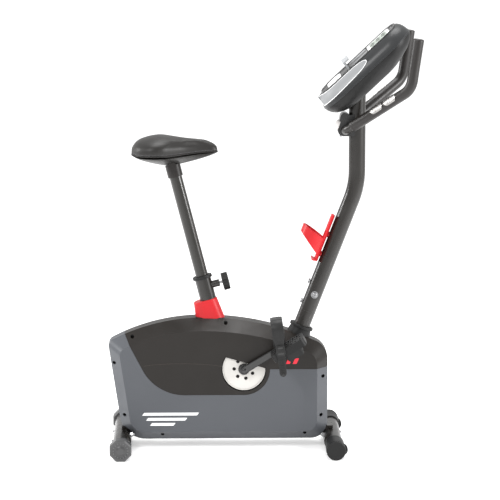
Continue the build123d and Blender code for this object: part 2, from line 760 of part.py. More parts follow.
centre_gap = hypot(flywheel_x - crank_x, flywheel_z - crank_z)
centre_turn = atan2(flywheel_z - crank_z, flywheel_x - crank_x)


def belt_solid(grow):
    """A solid bounded by two pulleys and their outer tangents, grown outward."""
    large = crank_pulley_r + grow
    small = flywheel_pulley_r + grow
    half_turn = acos((large - small) / centre_gap)
    corners = [
        (x + r * cos(centre_turn + way * half_turn), z + r * sin(centre_turn + way * half_turn))
        for x, z, r, way in (
            (crank_x, crank_z, large, 1), (flywheel_x, flywheel_z, small, 1),
            (flywheel_x, flywheel_z, small, -1), (crank_x, crank_z, large, -1),
        )
    ]
    with BuildPart() as loop:
        with BuildSketch(across(belt_y + belt_width / 2)):
            with Locations((crank_x, crank_z)):
                Circle(large)
            with Locations((flywheel_x, flywheel_z)):
                Circle(small)
            with BuildLine():
                Polyline(*corners, close=True)
            make_face()
        extrude(amount=belt_width)
    return loop.part


with BuildPart() as drive_belt:
    add(belt_solid(pulley_gap + belt_thick))
    add(belt_solid(pulley_gap), mode=Mode.SUBTRACT)
finish("drive_belt", drive_belt)

# magnet arm: a yoke over the flywheel's rim, on a pin between the tube's ears
yoke_low = 62.0
yoke_high = 128.0
yoke_gap = 2.8
with BuildPart() as magnet_arm:
    with BuildPart(mode=Mode.PRIVATE) as yoke:
        with BuildSketch(across(flywheel_half + yoke_gap + 4)):
            with Locations((flywheel_x, flywheel_z)):
                Circle(flywheel_r + 8)
                Circle(flywheel_r - 22, mode=Mode.SUBTRACT)
            with BuildLine():
                far = 2 * flywheel_r
                Polyline(
                    (flywheel_x, flywheel_z),
                    (flywheel_x + far * cos(radians(yoke_low)), flywheel_z + far * sin(radians(yoke_low))),
                    (flywheel_x + far * cos(radians(yoke_high)), flywheel_z + far * sin(radians(yoke_high))),
                    close=True,
                )
            make_face(mode=Mode.INTERSECT)
        extrude(amount=2 * (flywheel_half + yoke_gap + 4))
        groove = flywheel_half + yoke_gap
        add(rod(flywheel_x, flywheel_z, flywheel_r + 4, -groove, groove), mode=Mode.SUBTRACT)
    add(yoke.part)
    with BuildPart(mode=Mode.PRIVATE) as lever:
        with BuildSketch(across(groove)):
            with BuildLine():
                Polyline(
                    (arm_pivot_x, arm_pivot_z + 8), (arm_pivot_x, arm_pivot_z - 8),
                    (flywheel_x + 50, flywheel_z + flywheel_r - 9),
                    (flywheel_x + 42, flywheel_z + flywheel_r + 12), close=True,
                )
            make_face()
            with Locations((arm_pivot_x, arm_pivot_z)):
                Circle(9)
        extrude(amount=2 * groove)
        add(rod(flywheel_x, flywheel_z, flywheel_r + 4, -50, 50), mode=Mode.SUBTRACT)
    add(lever.part)
    add(rod(arm_pivot_x, arm_pivot_z, arm_pin_r, -ear_y - ear_thick, ear_y + ear_thick))
finish("magnet_arm", magnet_arm)

with BuildPart() as magnet_motor:
    add(block(arm_pivot_x - 10, arm_pivot_x + 34, -ear_y, ear_y, arm_pivot_z + 28, arm_pivot_z + 68))
    fillet(magnet_motor.edges().filter_by(Axis.Y), 3.0)
    add(rod(arm_pivot_x + 2, arm_pivot_z + 22, 6.0, -6, 6))
    add(block(arm_pivot_x - 2, arm_pivot_x + 6, -5, 5, arm_pivot_z + 22, arm_pivot_z + 30))
finish("magnet_motor", magnet_motor)

arm_width = 22.0
arm_end_width = 17.0
disc_holes = 7
disc_hole_r = 5.6
disc_hole_ring = 29.7
disc_turn = 25.0
for side_name, way, end_x, end_z in (
    ("right", -1, crank_end_x, crank_end_z),
    ("left", 1, 2 * crank_x - crank_end_x, 2 * crank_z - crank_end_z),
):
    low, high = sorted((way * crank_inner_y, way * crank_outer_y))
    with BuildPart() as crank:
        with BuildPart(mode=Mode.PRIVATE) as arm:
            with BuildSketch(across(high)):
                along_x = (end_x - crank_x) / crank_length
                along_z = (end_z - crank_z) / crank_length
                with Locations((crank_x, crank_z)):
                    Circle(arm_width / 2)
                with Locations((end_x, end_z)):
                    Circle(arm_end_width / 2)
                with BuildLine():
                    Polyline(
                        (crank_x - along_z * arm_width / 2, crank_z + along_x * arm_width / 2),
                        (end_x - along_z * arm_end_width / 2, end_z + along_x * arm_end_width / 2),
                        (end_x + along_z * arm_end_width / 2, end_z - along_x * arm_end_width / 2),
                        (crank_x + along_z * arm_width / 2, crank_z - along_x * arm_width / 2), close=True,
                    )
                make_face()
            extrude(amount=crank_thick)
            chamfer(arm.faces().filter_by(Axis.Y).edges(), 2.0)
        add(arm.part)
        add(rod(crank_x, crank_z, taper_d / 2, -crank_outer_y - 1, crank_outer_y + 1), mode=Mode.SUBTRACT)
        hub = sorted((way * (crank_inner_y - 6), way * (crank_inner_y + 1)))
        with BuildPart(mode=Mode.PRIVATE) as collar:
            add(rod(crank_x, crank_z, 15.0, *hub))
            add(rod(crank_x, crank_z, axle_d / 2, *hub), mode=Mode.SUBTRACT)
        add(collar.part)
        add(rod(end_x, end_z, spindle_d / 2, low - 1, high + 1), mode=Mode.SUBTRACT)
        add(rod(crank_x, crank_z, axle_d / 2, -crank_inner_y, crank_inner_y), mode=Mode.SUBTRACT)
    finish(f"crank_{side_name}", crank)

    with BuildPart() as disc:
        span = sorted((way * disc_y, way * (disc_y + disc_thick)))
        add(rod(crank_x, crank_z, disc_r, *span))
        with BuildPart(mode=Mode.PRIVATE) as holes:
            with BuildSketch(across(span[1] + 1)):
                with Locations((crank_x, crank_z)):
                    with PolarLocations(disc_hole_ring, disc_holes, start_angle=disc_turn):
                        Circle(disc_hole_r)
            extrude(amount=disc_thick + 2)
        add(holes.part, mode=Mode.SUBTRACT)
        rim = sorted((way * (disc_y + disc_thick), way * (disc_y + disc_thick + 2.5)))
        with BuildPart(mode=Mode.PRIVATE) as lip:
            add(rod(crank_x, crank_z, disc_r, *rim))
            add(rod(crank_x, crank_z, disc_r - 3, *rim), mode=Mode.SUBTRACT)
        add(lip.part)
        add(rod(crank_x, crank_z, 15.0, *sorted((way * disc_y, way * (crank_inner_y - 6)))))
        add(rod(crank_x, crank_z, axle_d / 2, -crank_inner_y, crank_inner_y), mode=Mode.SUBTRACT)
    finish(f"crank_disc_{side_name}", disc)

pedal_inner_y = crank_outer_y + 7.0
pedal_outer_y = pedal_inner_y + pedal_width
spindle_places = (
    (-1, crank_end_x, crank_end_z),
    (1, 2 * crank_x - crank_end_x, 2 * crank_z - crank_end_z),
)
with BuildPart() as pedal_spindles:
    for way, end_x, end_z in spindle_places:
        add(rod(end_x, end_z, spindle_d / 2, *sorted((way * crank_inner_y, way * (pedal_outer_y - 14)))))
        add(rod(end_x, end_z, 9.0, *sorted((way * crank_outer_y, way * (crank_outer_y + 3)))))
finish("pedal_spindles", pedal_spindles)

strap_width = 37.0
strap_thick = 2.6
strap_forward = -36.0  # from the spindle, along the tread
strap_lean = 8.0  # degrees back from upright
strap_tail = 6.0  # how far the strap's ends go below the tread's middle
strap_bend_r = 30.0
tread_shift = -8.0  # the tread's middle is behind the spindle
for side_name, way, end_x, end_z in (
    ("right", -1, crank_end_x, crank_end_z),
    ("left", 1, 2 * crank_x - crank_end_x, 2 * crank_z - crank_end_z),
):
    tilt = Plane(
        origin=(end_x, 0, end_z),
        x_dir=(cos(radians(crank_tilt)), 0, sin(radians(crank_tilt))),
        z_dir=(0, -1, 0),
    )
    sole = Plane(
        origin=(end_x, way * (pedal_inner_y + pedal_outer_y) / 2, end_z),
        x_dir=tilt.x_dir,
        z_dir=(-sin(radians(crank_tilt)), 0, cos(radians(crank_tilt))),
    )
    with BuildPart() as pedal:
        # tread block with a rounded nose and a weight hanging under it
        with BuildSketch(sole.offset(-pedal_thick / 2)):
            with Locations((tread_shift, 0)):
                RectangleRounded(pedal_length, pedal_width, 14)
        extrude(amount=pedal_thick)
        with BuildSketch(sole.offset(-pedal_thick / 2)):
            with Locations((tread_shift + 8, 0)):
                RectangleRounded(64, pedal_width - 16, 12)
        extrude(amount=-22, taper=18)
        # tread grooves
        with BuildSketch(sole.offset(pedal_thick / 2)):
            with Locations((tread_shift, 0)):
                with GridLocations(15, 0, 6, 1):
                    Rectangle(5, pedal_width - 18)
        extrude(amount=-3, mode=Mode.SUBTRACT)
        bore = sorted((way * (pedal_inner_y - 1), way * (pedal_outer_y - 13.5)))
        add(rod(end_x, end_z, spindle_d / 2 + running_fit, *bore), mode=Mode.SUBTRACT)
    finish(f"pedal_{side_name}", pedal)
    strap_half = pedal_width / 2 + strap_thick
    strap_plane = Plane(
        origin=sole.from_local_coords((strap_forward, 0, 0)),
        x_dir=(0, 1, 0),
        z_dir=(cos(radians(strap_lean)), 0, sin(radians(strap_lean))),
    )
    with BuildPart() as toe_strap:
        with BuildSketch(strap_plane.offset(-strap_width / 2)):
            RectangleRounded(2 * strap_half, 2 * strap_height, strap_bend_r)
            RectangleRounded(
                2 * (strap_half - strap_thick), 2 * (strap_height - strap_thick),
                strap_bend_r - strap_thick, mode=Mode.SUBTRACT,
            )
            # the strap's ends stop beside the tread
            with Locations((0, -strap_height - strap_tail)):
                Rectangle(3 * strap_half, 2 * strap_height, mode=Mode.SUBTRACT)
        extrude(amount=strap_width)
    finish(f"toe_strap_{side_name}", toe_strap)

# ---------------------------------------------------------------- seat
post_low = pin_station - pin_pitch * 6 - 20
bush_flange_r = 30.0
bush_wall_r = seat_tube_r - seat_tube_wall - touch_gap
collar_top_station = 408.0
collar_low_station = 316.0  # inside the casing
collar_shift = -9.5
with BuildPart() as seat_tube_bushing:
    add(tube_on(seat_axis, bush_wall_r, seat_tube_top - 62, seat_tube_top))
    add(tube_on(seat_axis, bush_flange_r, seat_tube_top, seat_tube_top + 9))
    fillet(seat_tube_bushing.faces().sort_by(Axis(seat_axis.origin, seat_axis.z_dir))[-1].edges(), 3.0)
    add(tube_on(seat_axis, post_r + running_fit, 0, 600), mode=Mode.SUBTRACT)
    add(tube_on(pin_plane, pin_d / 2 + 1.0, 0, 40), mode=Mode.SUBTRACT)
finish("seat_tube_bushing", seat_tube_bushing)

with BuildPart() as seat_collar:
    collar_top = seat_axis.offset(collar_top_station)
    collar_low = seat_axis.offset(collar_low_station)
    with BuildSketch(collar_low):
        with Locations((collar_shift, 0)):
            RectangleRounded(96, 62, 30)
    with BuildSketch(collar_top):
        with Locations((collar_shift, 0)):
            RectangleRounded(73, 58, 28)
    loft()
    fillet(seat_collar.faces().sort_by(Axis(seat_axis.origin, seat_axis.z_dir))[-1].edges(), 3.0)
    add(tube_on(seat_axis, seat_tube_r + touch_gap, 0, 600), mode=Mode.SUBTRACT)
    add(casing_grown, mode=Mode.SUBTRACT)
finish("seat_collar", seat_collar)

pin_tip = post_r + 0.5  # clear of the post; it goes in as the joint moves inward
with BuildPart() as seat_post:
    add(tube_on(seat_axis, post_r, post_low, post_top))
    add(tube_on(seat_axis, post_r - post_wall, post_low - 1, post_top - 30), mode=Mode.SUBTRACT)
    with BuildPart(mode=Mode.PRIVATE) as pin_holes:
        for step in range(-pins_below, pins_above + 1):
            hole = Plane(
                origin=seat_axis.from_local_coords((0, 0, pin_station + step * pin_pitch)),
                x_dir=(0, 1, 0),
                z_dir=seat_axis.x_dir,
            )
            add(tube_on(hole, pin_d / 2 + pin_hole_gap, 0, post_r + 2))
    add(pin_holes.part, mode=Mode.SUBTRACT)
finish("seat_post", seat_post)

knob_start = seat_tube_r + boss_tall + 9.0
pin_collar_r = 7.5
pin_collar_start = seat_tube_r + 11.5
pin_collar_thick = 2.0
with BuildPart() as lock_pin:
    add(tube_on(pin_plane, pin_d / 2, pin_tip, knob_start + 12))
    add(tube_on(pin_plane, pin_collar_r, pin_collar_start, pin_collar_start + pin_collar_thick))
finish("lock_pin", lock_pin)

knob_r = 27.0
with BuildPart() as lock_knob:
    with BuildSketch(pin_plane.offset(knob_start)):
        Circle(knob_r)
        with PolarLocations(knob_r + 7.0, 6):
            Circle(13.0, mode=Mode.SUBTRACT)
    extrude(amount=20)
    fillet(lock_knob.faces().sort_by(Axis(pin_plane.origin, pin_plane.z_dir))[-1].edges(), 2.5)
    add(tube_on(pin_plane, pin_d / 2, 0, knob_start + 12), mode=Mode.SUBTRACT)
finish("lock_knob", lock_knob)

with BuildPart() as pin_spring:
    spring_start = pin_collar_start + pin_collar_thick + slide_gap
    add(tube_on(pin_plane, 7.4, spring_start, seat_tube_r + boss_tall - boss_lip - slide_gap))
    add(tube_on(pin_plane, 5.4, 0, 100), mode=Mode.SUBTRACT)
finish("pin_spring", pin_spring)

post_top_point = seat_axis.from_local_coords((0, 0, post_top))
clamp_x = post_top_point.X
clamp_z = post_top_point.Z + 3.0
clamp_rod_r = 9.0
clamp_rod_y = 33.0
clamp_nut_r = 12.0
with BuildPart() as seat_clamp:
    add(tube_on(seat_axis, post_r + 4, post_top - 34, post_top + 4))
    add(rod(clamp_x, clamp_z, clamp_rod_r, -clamp_rod_y - 2, clamp_rod_y + 2))
    for way in (-1, 1):
        nut_span = sorted((way * (clamp_rod_y + touch_gap), way * (clamp_rod_y + 6)))
        add(rod(clamp_x, clamp_z, clamp_nut_r, *nut_span))
    add(tube_on(seat_axis, post_r, post_top - 60, post_top), mode=Mode.SUBTRACT)
finish("seat_clamp", seat_clamp)

# saddle sections: x, half width, lowest z, highest z
saddle_sections = (
    (saddle_rear_x, 34.0, 903.0, 925.0),
    (saddle_rear_x + 22, 82.0, 895.0, 951.0),
    (saddle_rear_x + 62, saddle_half, 885.0, saddle_top_z),
    (saddle_rear_x + 120, 88.0, 890.0, 958.0),
    (saddle_rear_x + 175, 50.0, 903.0, 953.0),
    (saddle_rear_x + 225, 30.0, 909.0, 949.0),
    (saddle_front_x - 12, 24.0, 911.0, 940.0),
    (saddle_front_x, 12.0, 913.0, 928.0),
)
with BuildPart() as saddle_pad:
    for x, half, low, high in saddle_sections:
        with BuildSketch(Plane.YZ.offset(x)):
            with Locations((0, (low + high) / 2)):
                Ellipse(half, (high - low) / 2)
    loft()
    add(block(-500, 0, -150, 150, 800, saddle_floor_z), mode=Mode.SUBTRACT)
finish("saddle_pad", saddle_pad)

pan_top_z = saddle_floor_z - touch_gap
pan_thick = 8.0
lug_y = 26.0
with BuildPart() as saddle_base:
    with BuildSketch(Plane.XY.offset(pan_top_z)):
        with Locations((saddle_rear_x + 92, 0)):
            Ellipse(68, 74)
    extrude(amount=-pan_thick)
    chamfer(saddle_base.faces().sort_by(Axis.Z)[0].edges(), 5.0)
    for way in (-1, 1):
        low, high = sorted((way * lug_y, way * clamp_rod_y))
        add(block(clamp_x - 14, clamp_x + 14, low, high, clamp_z - 12, pan_top_z - pan_thick + 0.5))
    rod_span = (-clamp_rod_y - 1, clamp_rod_y + 1)
    add(rod(clamp_x, clamp_z, clamp_rod_r + touch_gap, *rod_span), mode=Mode.SUBTRACT)
    for way in (-1, 1):
        low, high = sorted((way * clamp_rod_y, way * (clamp_rod_y + 8)))
        add(rod(clamp_x, clamp_z, clamp_nut_r + touch_gap, low, high), mode=Mode.SUBTRACT)
    add(tube_on(seat_axis, post_r + 4.5, post_top - 34, post_top + 5), mode=Mode.SUBTRACT)
finish("saddle_base", saddle_base)

# ---------------------------------------------------------------- mast
with BuildPart() as mast_tube:
    with BuildLine() as mast_path:
        start = mast_axis.from_local_coords((0, 0, mast_joint))
        FilletPolyline(
            (start.X, 0, start.Z), (mast_upright_x, 0, mast_corner_z), (mast_upright_x, 0, mast_top_z),
            radius=mast_bend_r,
        )
    with BuildSketch(mast_axis.offset(mast_joint)):
        Circle(mast_r)
        Circle(mast_r - mast_wall, mode=Mode.SUBTRACT)
    sweep(path=mast_path.wire())
    for s in rear_bolts_s:
        hole = Plane(origin=mast_axis.from_local_coords((0, 0, s)), x_dir=(0, 1, 0), z_dir=-mast_axis.x_dir)
        add(tube_on(hole, mast_bolt_r, 0, mast_r + 5), mode=Mode.SUBTRACT)
    side_point_s = mast_axis.from_local_coords((0, 0, side_bolt_s))
    hole = Plane(origin=side_point_s, x_dir=mast_axis.z_dir, z_dir=(0, 1, 0))
    add(tube_on(hole, mast_bolt_r, -mast_r - 5, mast_r + 5), mode=Mode.SUBTRACT)
finish("mast_tube", mast_tube)

bezel_top_s = 336.0
bezel_thick = 8.0
bezel_r = 37.0
with BuildPart() as mast_bezel:
    with BuildSketch(mast_axis.offset(bezel_top_s - 60)):
        Ellipse(45, 38)
    with BuildSketch(mast_axis.offset(bezel_top_s - bezel_thick)):
        Ellipse(32, 31)
    loft()
    add(tube_on(mast_axis, bezel_r, bezel_top_s - bezel_thick, bezel_top_s))
    fillet(mast_bezel.faces().sort_by(Axis(mast_axis.origin, mast_axis.z_dir))[-1].edges(), 2.5)
    add(tube_on(mast_axis, mast_r + touch_gap, 0, 600), mode=Mode.SUBTRACT)
    add(casing_grown, mode=Mode.SUBTRACT)
finish("mast_bezel", mast_bezel)

# ---------------------------------------------------------------- bottle cage
bottle_r = 37.5
cage_wall = 3.5
cage_low_s = 538.0
cage_high_s = 688.0
cage_stand_off = 2.0
bottle_p = -mast_r - cage_stand_off - cage_wall - bottle_r - 0.5
cage_foot = mast_axis.from_local_coords((bottle_p, 0, 0))
cage_axis = Plane(origin=cage_foot, x_dir=mast_axis.x_dir, z_dir=mast_axis.z_dir)
cage_screw_s = (562.0, 626.0)
with BuildPart() as bottle_cage:
    # the bottle's round wall, kept as a back strip and a slanted ring
    add(tube_on(cage_axis, bottle_r + cage_wall, cage_low_s, cage_high_s))
    add(tube_on(cage_axis, bottle_r, cage_low_s - 1, cage_high_s + 1), mode=Mode.SUBTRACT)
    with BuildPart(mode=Mode.PRIVATE) as kept:
        with BuildSketch(cage_axis.offset(cage_low_s - 1)):
            with Locations((bottle_r, 0)):
                Rectangle(26, 44)
        extrude(amount=cage_high_s - cage_low_s + 2)
        with BuildSketch(Plane(mast_side.origin, mast_side.x_dir, (0, -1, 0)).offset(-60)):
            with BuildLine():
                Polyline((608, 24), (634, 114), (611, 114), (560, 40), (552, 24), close=True)
            make_face()
        extrude(amount=120)
    add(kept.part, mode=Mode.INTERSECT)
    # shelf under the bottle, with a turned-up tip
    with BuildPart(mode=Mode.PRIVATE) as shelf:
        with BuildSketch(cage_axis.offset(cage_low_s)):
            Circle(bottle_r + cage_wall)
            with Locations((-25, 0)):
                Rectangle(90, 120, mode=Mode.SUBTRACT)
        extrude(amount=4)
    add(shelf.part)
    for s in cage_screw_s:
        pad = Plane(origin=mast_axis.from_local_coords((0, 0, s)), x_dir=(0, 1, 0), z_dir=-mast_axis.x_dir)
        with BuildPart(mode=Mode.PRIVATE) as foot:
            add(tube_on(pad, 9.0, mast_r - 6, mast_r + cage_stand_off + 1.5))
            add(tube_on(mast_axis, mast_r + touch_gap, 400, 750), mode=Mode.SUBTRACT)
        add(foot.part)
        add(tube_on(pad, 2.6, mast_r - 8, mast_r + 30), mode=Mode.SUBTRACT)
finish("bottle_cage", bottle_cage)

bolt_head_r = 8.0
bolt_head_h = 5.0
with BuildPart() as mast_bolts:
    for s in rear_bolts_s:
        seat = Plane(
            origin=mast_axis.from_local_coords((-mast_r - 1.5, 0, s)), x_dir=(0, 1, 0), z_dir=-mast_axis.x_dir
        )
        add(bolt(seat, mast_bolt_r - 0.2, 9.0, bolt_head_r, bolt_head_h))
    for way in (-1, 1):
        seat = Plane(
            origin=mast_axis.from_local_coords((0, way * (mast_r + 1.8), side_bolt_s)),
            x_dir=mast_axis.z_dir,
            z_dir=(0, way, 0),
        )
        add(bolt(seat, mast_bolt_r - 0.2, 10.0, bolt_head_r, bolt_head_h))
        add(tube_on(seat, 11.0, -1.6, 0))
    for s in cage_screw_s:
        seat = Plane(
            origin=mast_axis.from_local_coords((-mast_r - cage_stand_off - cage_wall - 1.0, 0, s)),
            x_dir=(0, 1, 0),
            z_dir=-mast_axis.x_dir,
        )
        add(bolt(seat, 2.4, cage_stand_off + cage_wall + 0.5, 4.6, 2.6))
finish("mast_bolts", mast_bolts)

# ---------------------------------------------------------------- handlebar
clamp_half = 24.0
clamp_wall = 5.0
clamp_top_z = bar_z + 40.0
bar_path_points = [
    (bar_tip_x, -grip_y, bar_tip_z), (bar_corner_x, -grip_y, bar_corner_z), (bar_x, -bar_bend_y, bar_z),
    (bar_x, bar_bend_y, bar_z), (bar_corner_x, grip_y, bar_corner_z), (bar_tip_x, grip_y, bar_tip_z),
]
upper_bend_r = 55.0
lower_bend_r = 28.0
with BuildPart() as bar_run:
    with BuildLine() as bar_path:
        FilletPolyline(*bar_path_points, radius=[upper_bend_r, lower_bend_r, lower_bend_r, upper_bend_r])
    bar_start = Plane(origin=bar_path.wire() @ 0, z_dir=bar_path.wire() % 0)
    with BuildSketch(bar_start):
        Circle(bar_r)
    sweep(path=bar_path.wire())
with BuildPart() as handlebar_tube:
    with BuildSketch(bar_start):
        Circle(bar_r)
        Circle(bar_r - bar_wall, mode=Mode.SUBTRACT)
    sweep(path=bar_path.wire())
finish("handlebar_tube", handlebar_tube)

# foam grips run from beside the clamp to past each tip
grip_start = 0.19  # share of the half bar left bare beside the clamp
pulse_half = 23.0
pulse_places = (0.52, 0.72)  # shares of the bar's sloping run
for side_name, way in (("right", -1), ("left", 1)):
    with BuildPart() as grip:
        with BuildLine() as grip_path:
            FilletPolyline(
                (bar_tip_x, way * grip_y, bar_tip_z), (bar_corner_x, way * grip_y, bar_corner_z),
                (bar_x + (bar_corner_x - bar_x) * grip_start,
                 way * (bar_bend_y + (grip_y - bar_bend_y) * grip_start),
                 bar_z + (bar_corner_z - bar_z) * grip_start),
                radius=upper_bend_r,
            )
        with BuildSketch(Plane(origin=grip_path.wire() @ 0, z_dir=grip_path.wire() % 0)):
            Circle(grip_r)
        sweep(path=grip_path.wire())
        # closed end beyond the tube
        with BuildSketch(Plane(origin=grip_path.wire() @ 0, z_dir=-(grip_path.wire() % 0))):
            Circle(grip_r)
        extrude(amount=5)
        top = Axis(grip_path.wire() @ 0, -(grip_path.wire() % 0))
        fillet(grip.faces().sort_by(top)[-1].edges(), 4.5)
        add(bar_run.part, mode=Mode.SUBTRACT)
    finish(f"grip_{side_name}", grip)


def along_bar(share, way):
    """A point on the bar's sloping run, at a share of its length."""
    return (
        bar_x + (bar_corner_x - bar_x) * share,
        way * (bar_bend_y + (grip_y - bar_bend_y) * share),
        bar_z + (bar_corner_z - bar_z) * share,
    )


plate_wall = 1.4
with BuildPart() as pulse_plates:
    for way in (-1, 1):
        for share in pulse_places:
            middle = Vector(*along_bar(share, way))
            run = (Vector(*along_bar(1, way)) - Vector(*along_bar(0, way))).normalized()
            section = Plane(origin=middle - run * pulse_half, z_dir=run)
            with BuildPart(mode=Mode.PRIVATE) as plate:
                add(tube_on(section, grip_r + touch_gap + plate_wall, 0, 2 * pulse_half))
                add(tube_on(section, grip_r + touch_gap, -1, 2 * pulse_half + 1), mode=Mode.SUBTRACT)
                # the plate faces up and outward, a third of the way round
                outward = Vector(-0.35, way * 0.75, 0.55)
                outward = (outward - run * outward.dot(run)).normalized()
                slab = Plane(origin=middle, x_dir=run, z_dir=outward)
                with BuildSketch(slab):
                    RectangleRounded(2 * pulse_half, 24, 11)
                extrude(amount=40, mode=Mode.INTERSECT)
            add(plate.part)
finish("pulse_plates", pulse_plates)

# clamp: a saddle block welded to the mast and a cap over the bar, in one cover
with BuildPart() as bar_clamp_cap:
    with BuildSketch(across(clamp_half)):
        with Locations((bar_x - 4, bar_z)):
            Circle(bar_r + clamp_wall)
        with Locations((bar_x, bar_z + 38)):
            Circle(15)
        with BuildLine():
            Polyline(
                (bar_x - 4 - bar_r - clamp_wall, bar_z), (bar_x - 15, bar_z + 38), (mast_upright_x, bar_z + 53),
                (mast_upright_x, bar_z - bar_r - clamp_wall), (bar_x - 4, bar_z - bar_r - clamp_wall), close=True,
            )
        make_face()
    extrude(amount=2 * clamp_half)
    add(tube_on(upright_axis, mast_r + touch_gap, 800, 1200), mode=Mode.SUBTRACT)
    add(rod(bar_x, bar_z, bar_r + 0.1, -60, 60), mode=Mode.SUBTRACT)
    add(block(mast_upright_x - 3, mast_upright_x + 60, -60, 60, 800, 1200), mode=Mode.SUBTRACT)
finish("bar_clamp_cap", bar_clamp_cap)

# ---------------------------------------------------------------- console
console_middle = console_start + console_length / 2
face_start = -34.0
face_end = 268.0
face_width = 132.0
back_start = -8.0
back_end = 196.0
back_width = 118.0


def console_shape(skin):
    """The console's front and back solids, moved in by skin."""
    with BuildPart() as front:
        with BuildSketch(console_face.offset(console_part_v)):
            with Locations((console_middle, 0)):
                RectangleRounded(console_length - 2 * skin, console_width - 2 * skin, 78 - skin)
        with BuildSketch(console_face.offset(-skin)):
            with Locations(((face_start + face_end) / 2, 0)):
                RectangleRounded(face_end - face_start - 2 * skin, face_width - 2 * skin, 52 - skin)
        loft()
    with BuildPart() as back:
        with BuildSketch(console_face.offset(console_part_v)):
            with Locations((console_middle, 0)):
                RectangleRounded(console_length - 2 * skin, console_width - 2 * skin, 78 - skin)
        with BuildSketch(console_face.offset(console_back_v + skin)):
            with Locations(((back_start + back_end) / 2, 0)):
                RectangleRounded(back_end - back_start - 2 * skin, back_width - 2 * skin, 48 - skin)
        loft()
    return front.part, back.part


console_outer = console_shape(0)
console_inner = console_shape(console_wall)
screen_low = 158.0
screen_high = 238.0
screen_half = 46.0
ledge_u = 76.0
button_u = 28.0
button_places = (-30.0, 0.0, 30.0)
button_r = 9.0
button_travel = 1.0
recess = 3.0

with BuildPart() as console_front:
    add(console_outer[0])
    add(console_inner[0], mode=Mode.SUBTRACT)
    # a shallow bezel round the face
    with BuildSketch(console_face):
        with Locations(((face_start + face_end) / 2, 0)):
            RectangleRounded(face_end - face_start - 14, face_width - 14, 46)
    extrude(amount=-1.2, mode=Mode.SUBTRACT)
    with BuildSketch(console_face):
        with Locations(((screen_low + screen_high) / 2, 0)):
            RectangleRounded(screen_high - screen_low, 2 * screen_half, 6)
    extrude(amount=-6, mode=Mode.SUBTRACT)
    with BuildSketch(console_face):
        with Locations([(button_u, y) for y in button_places]):
            Circle(button_r + slide_gap)
        with Locations((ledge_u, 0)):
            Rectangle(5 + 2 * touch_gap, 96 + 2 * touch_gap)
    extrude(amount=-6, mode=Mode.SUBTRACT)
finish("console_front", console_front)

with BuildPart() as console_back:
    add(console_outer[1])
    add(console_inner[1], mode=Mode.SUBTRACT)
    with BuildPart(mode=Mode.PRIVATE) as socket:
        add(tube_on(upright_axis, mast_r + 5, 900, mast_top_z - 2))
        add(console_outer[1], mode=Mode.INTERSECT)
    add(socket.part)
    add(tube_on(upright_axis, mast_r + touch_gap, 900, mast_top_z + 60), mode=Mode.SUBTRACT)
    # small gap at the parting line
    with BuildSketch(console_face.offset(console_part_v)):
        with Locations((console_middle, 0)):
            Rectangle(500, 300)
    extrude(amount=-seam, mode=Mode.SUBTRACT)
finish("console_back", console_back)

with BuildPart() as screen_window:
    with BuildSketch(console_face.offset(-3.4)):
        with Locations(((screen_low + screen_high) / 2, 0)):
            RectangleRounded(screen_high - screen_low - 0.4, 2 * screen_half - 0.4, 5.8)
    extrude(amount=2.0)
finish("screen_window", screen_window)

with BuildPart() as reading_ledge:
    with BuildSketch(console_face.offset(-5)):
        with Locations((ledge_u, 0)):
            Rectangle(5, 96)
    extrude(amount=31)
    with BuildSketch(console_face.offset(22)):
        with Locations((ledge_u + 8.5, 0)):
            Rectangle(22, 96)
    extrude(amount=4)
finish("reading_ledge", reading_ledge)

trim_start = -52.0
trim_end = 132.0
trim_low_v = -31.0
trim_high_v = -5.0
trim_thick = 1.6
with BuildPart() as console_trims:
    grown = console_shape(-trim_thick - touch_gap)[0]
    near = console_shape(-touch_gap)[0]
    with BuildPart(mode=Mode.PRIVATE) as band:
        add(grown)
        add(near, mode=Mode.SUBTRACT)
        with BuildSketch(console_side.offset(-150)):
            with BuildLine():
                Polyline(
                    (trim_start, trim_low_v), (trim_start - 12, trim_high_v), (trim_end - 30, trim_high_v),
                    (trim_end, trim_high_v - 7), (trim_end - 50, trim_low_v + 8), (trim_start + 50, trim_low_v),
                    close=True,
                )
            make_face()
        extrude(amount=300, mode=Mode.INTERSECT)
        with BuildSketch(console_face.offset(-60)):
            Rectangle(2000, 66, mode=Mode.ADD)
        extrude(amount=120, mode=Mode.SUBTRACT)
    add(band.part)
finish("console_trims", console_trims)

for number, y in enumerate(button_places, start=1):
    with BuildPart() as button:
        with BuildSketch(console_face.offset(-4.0)):
            with Locations((button_u, y)):
                Circle(button_r)
        extrude(amount=5.2)
        fillet(button.faces().sort_by(Axis(console_face.origin, console_face.z_dir))[-1].edges(), 1.2)
    finish(f"console_button_{number}", button)

# ---------------------------------------------------------------- power inlet
with BuildPart() as power_inlet:
    add(tube_on(inlet_plane, inlet_r, -16, 0.6))
    add(tube_on(inlet_plane, inlet_r + 2, 0.3, 2.0))
    add(tube_on(inlet_plane, 3.4, -10, 5), mode=Mode.SUBTRACT)
    add(tube_on(inlet_plane, 1.1, -11, -1))
finish("power_inlet", power_inlet)
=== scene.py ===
"""Looks of an upright exercise bike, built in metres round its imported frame."""

import json
import logging
import math
from dataclasses import dataclass, field
from enum import Enum

import bmesh
import bpy
from mathutils import Matrix, Vector


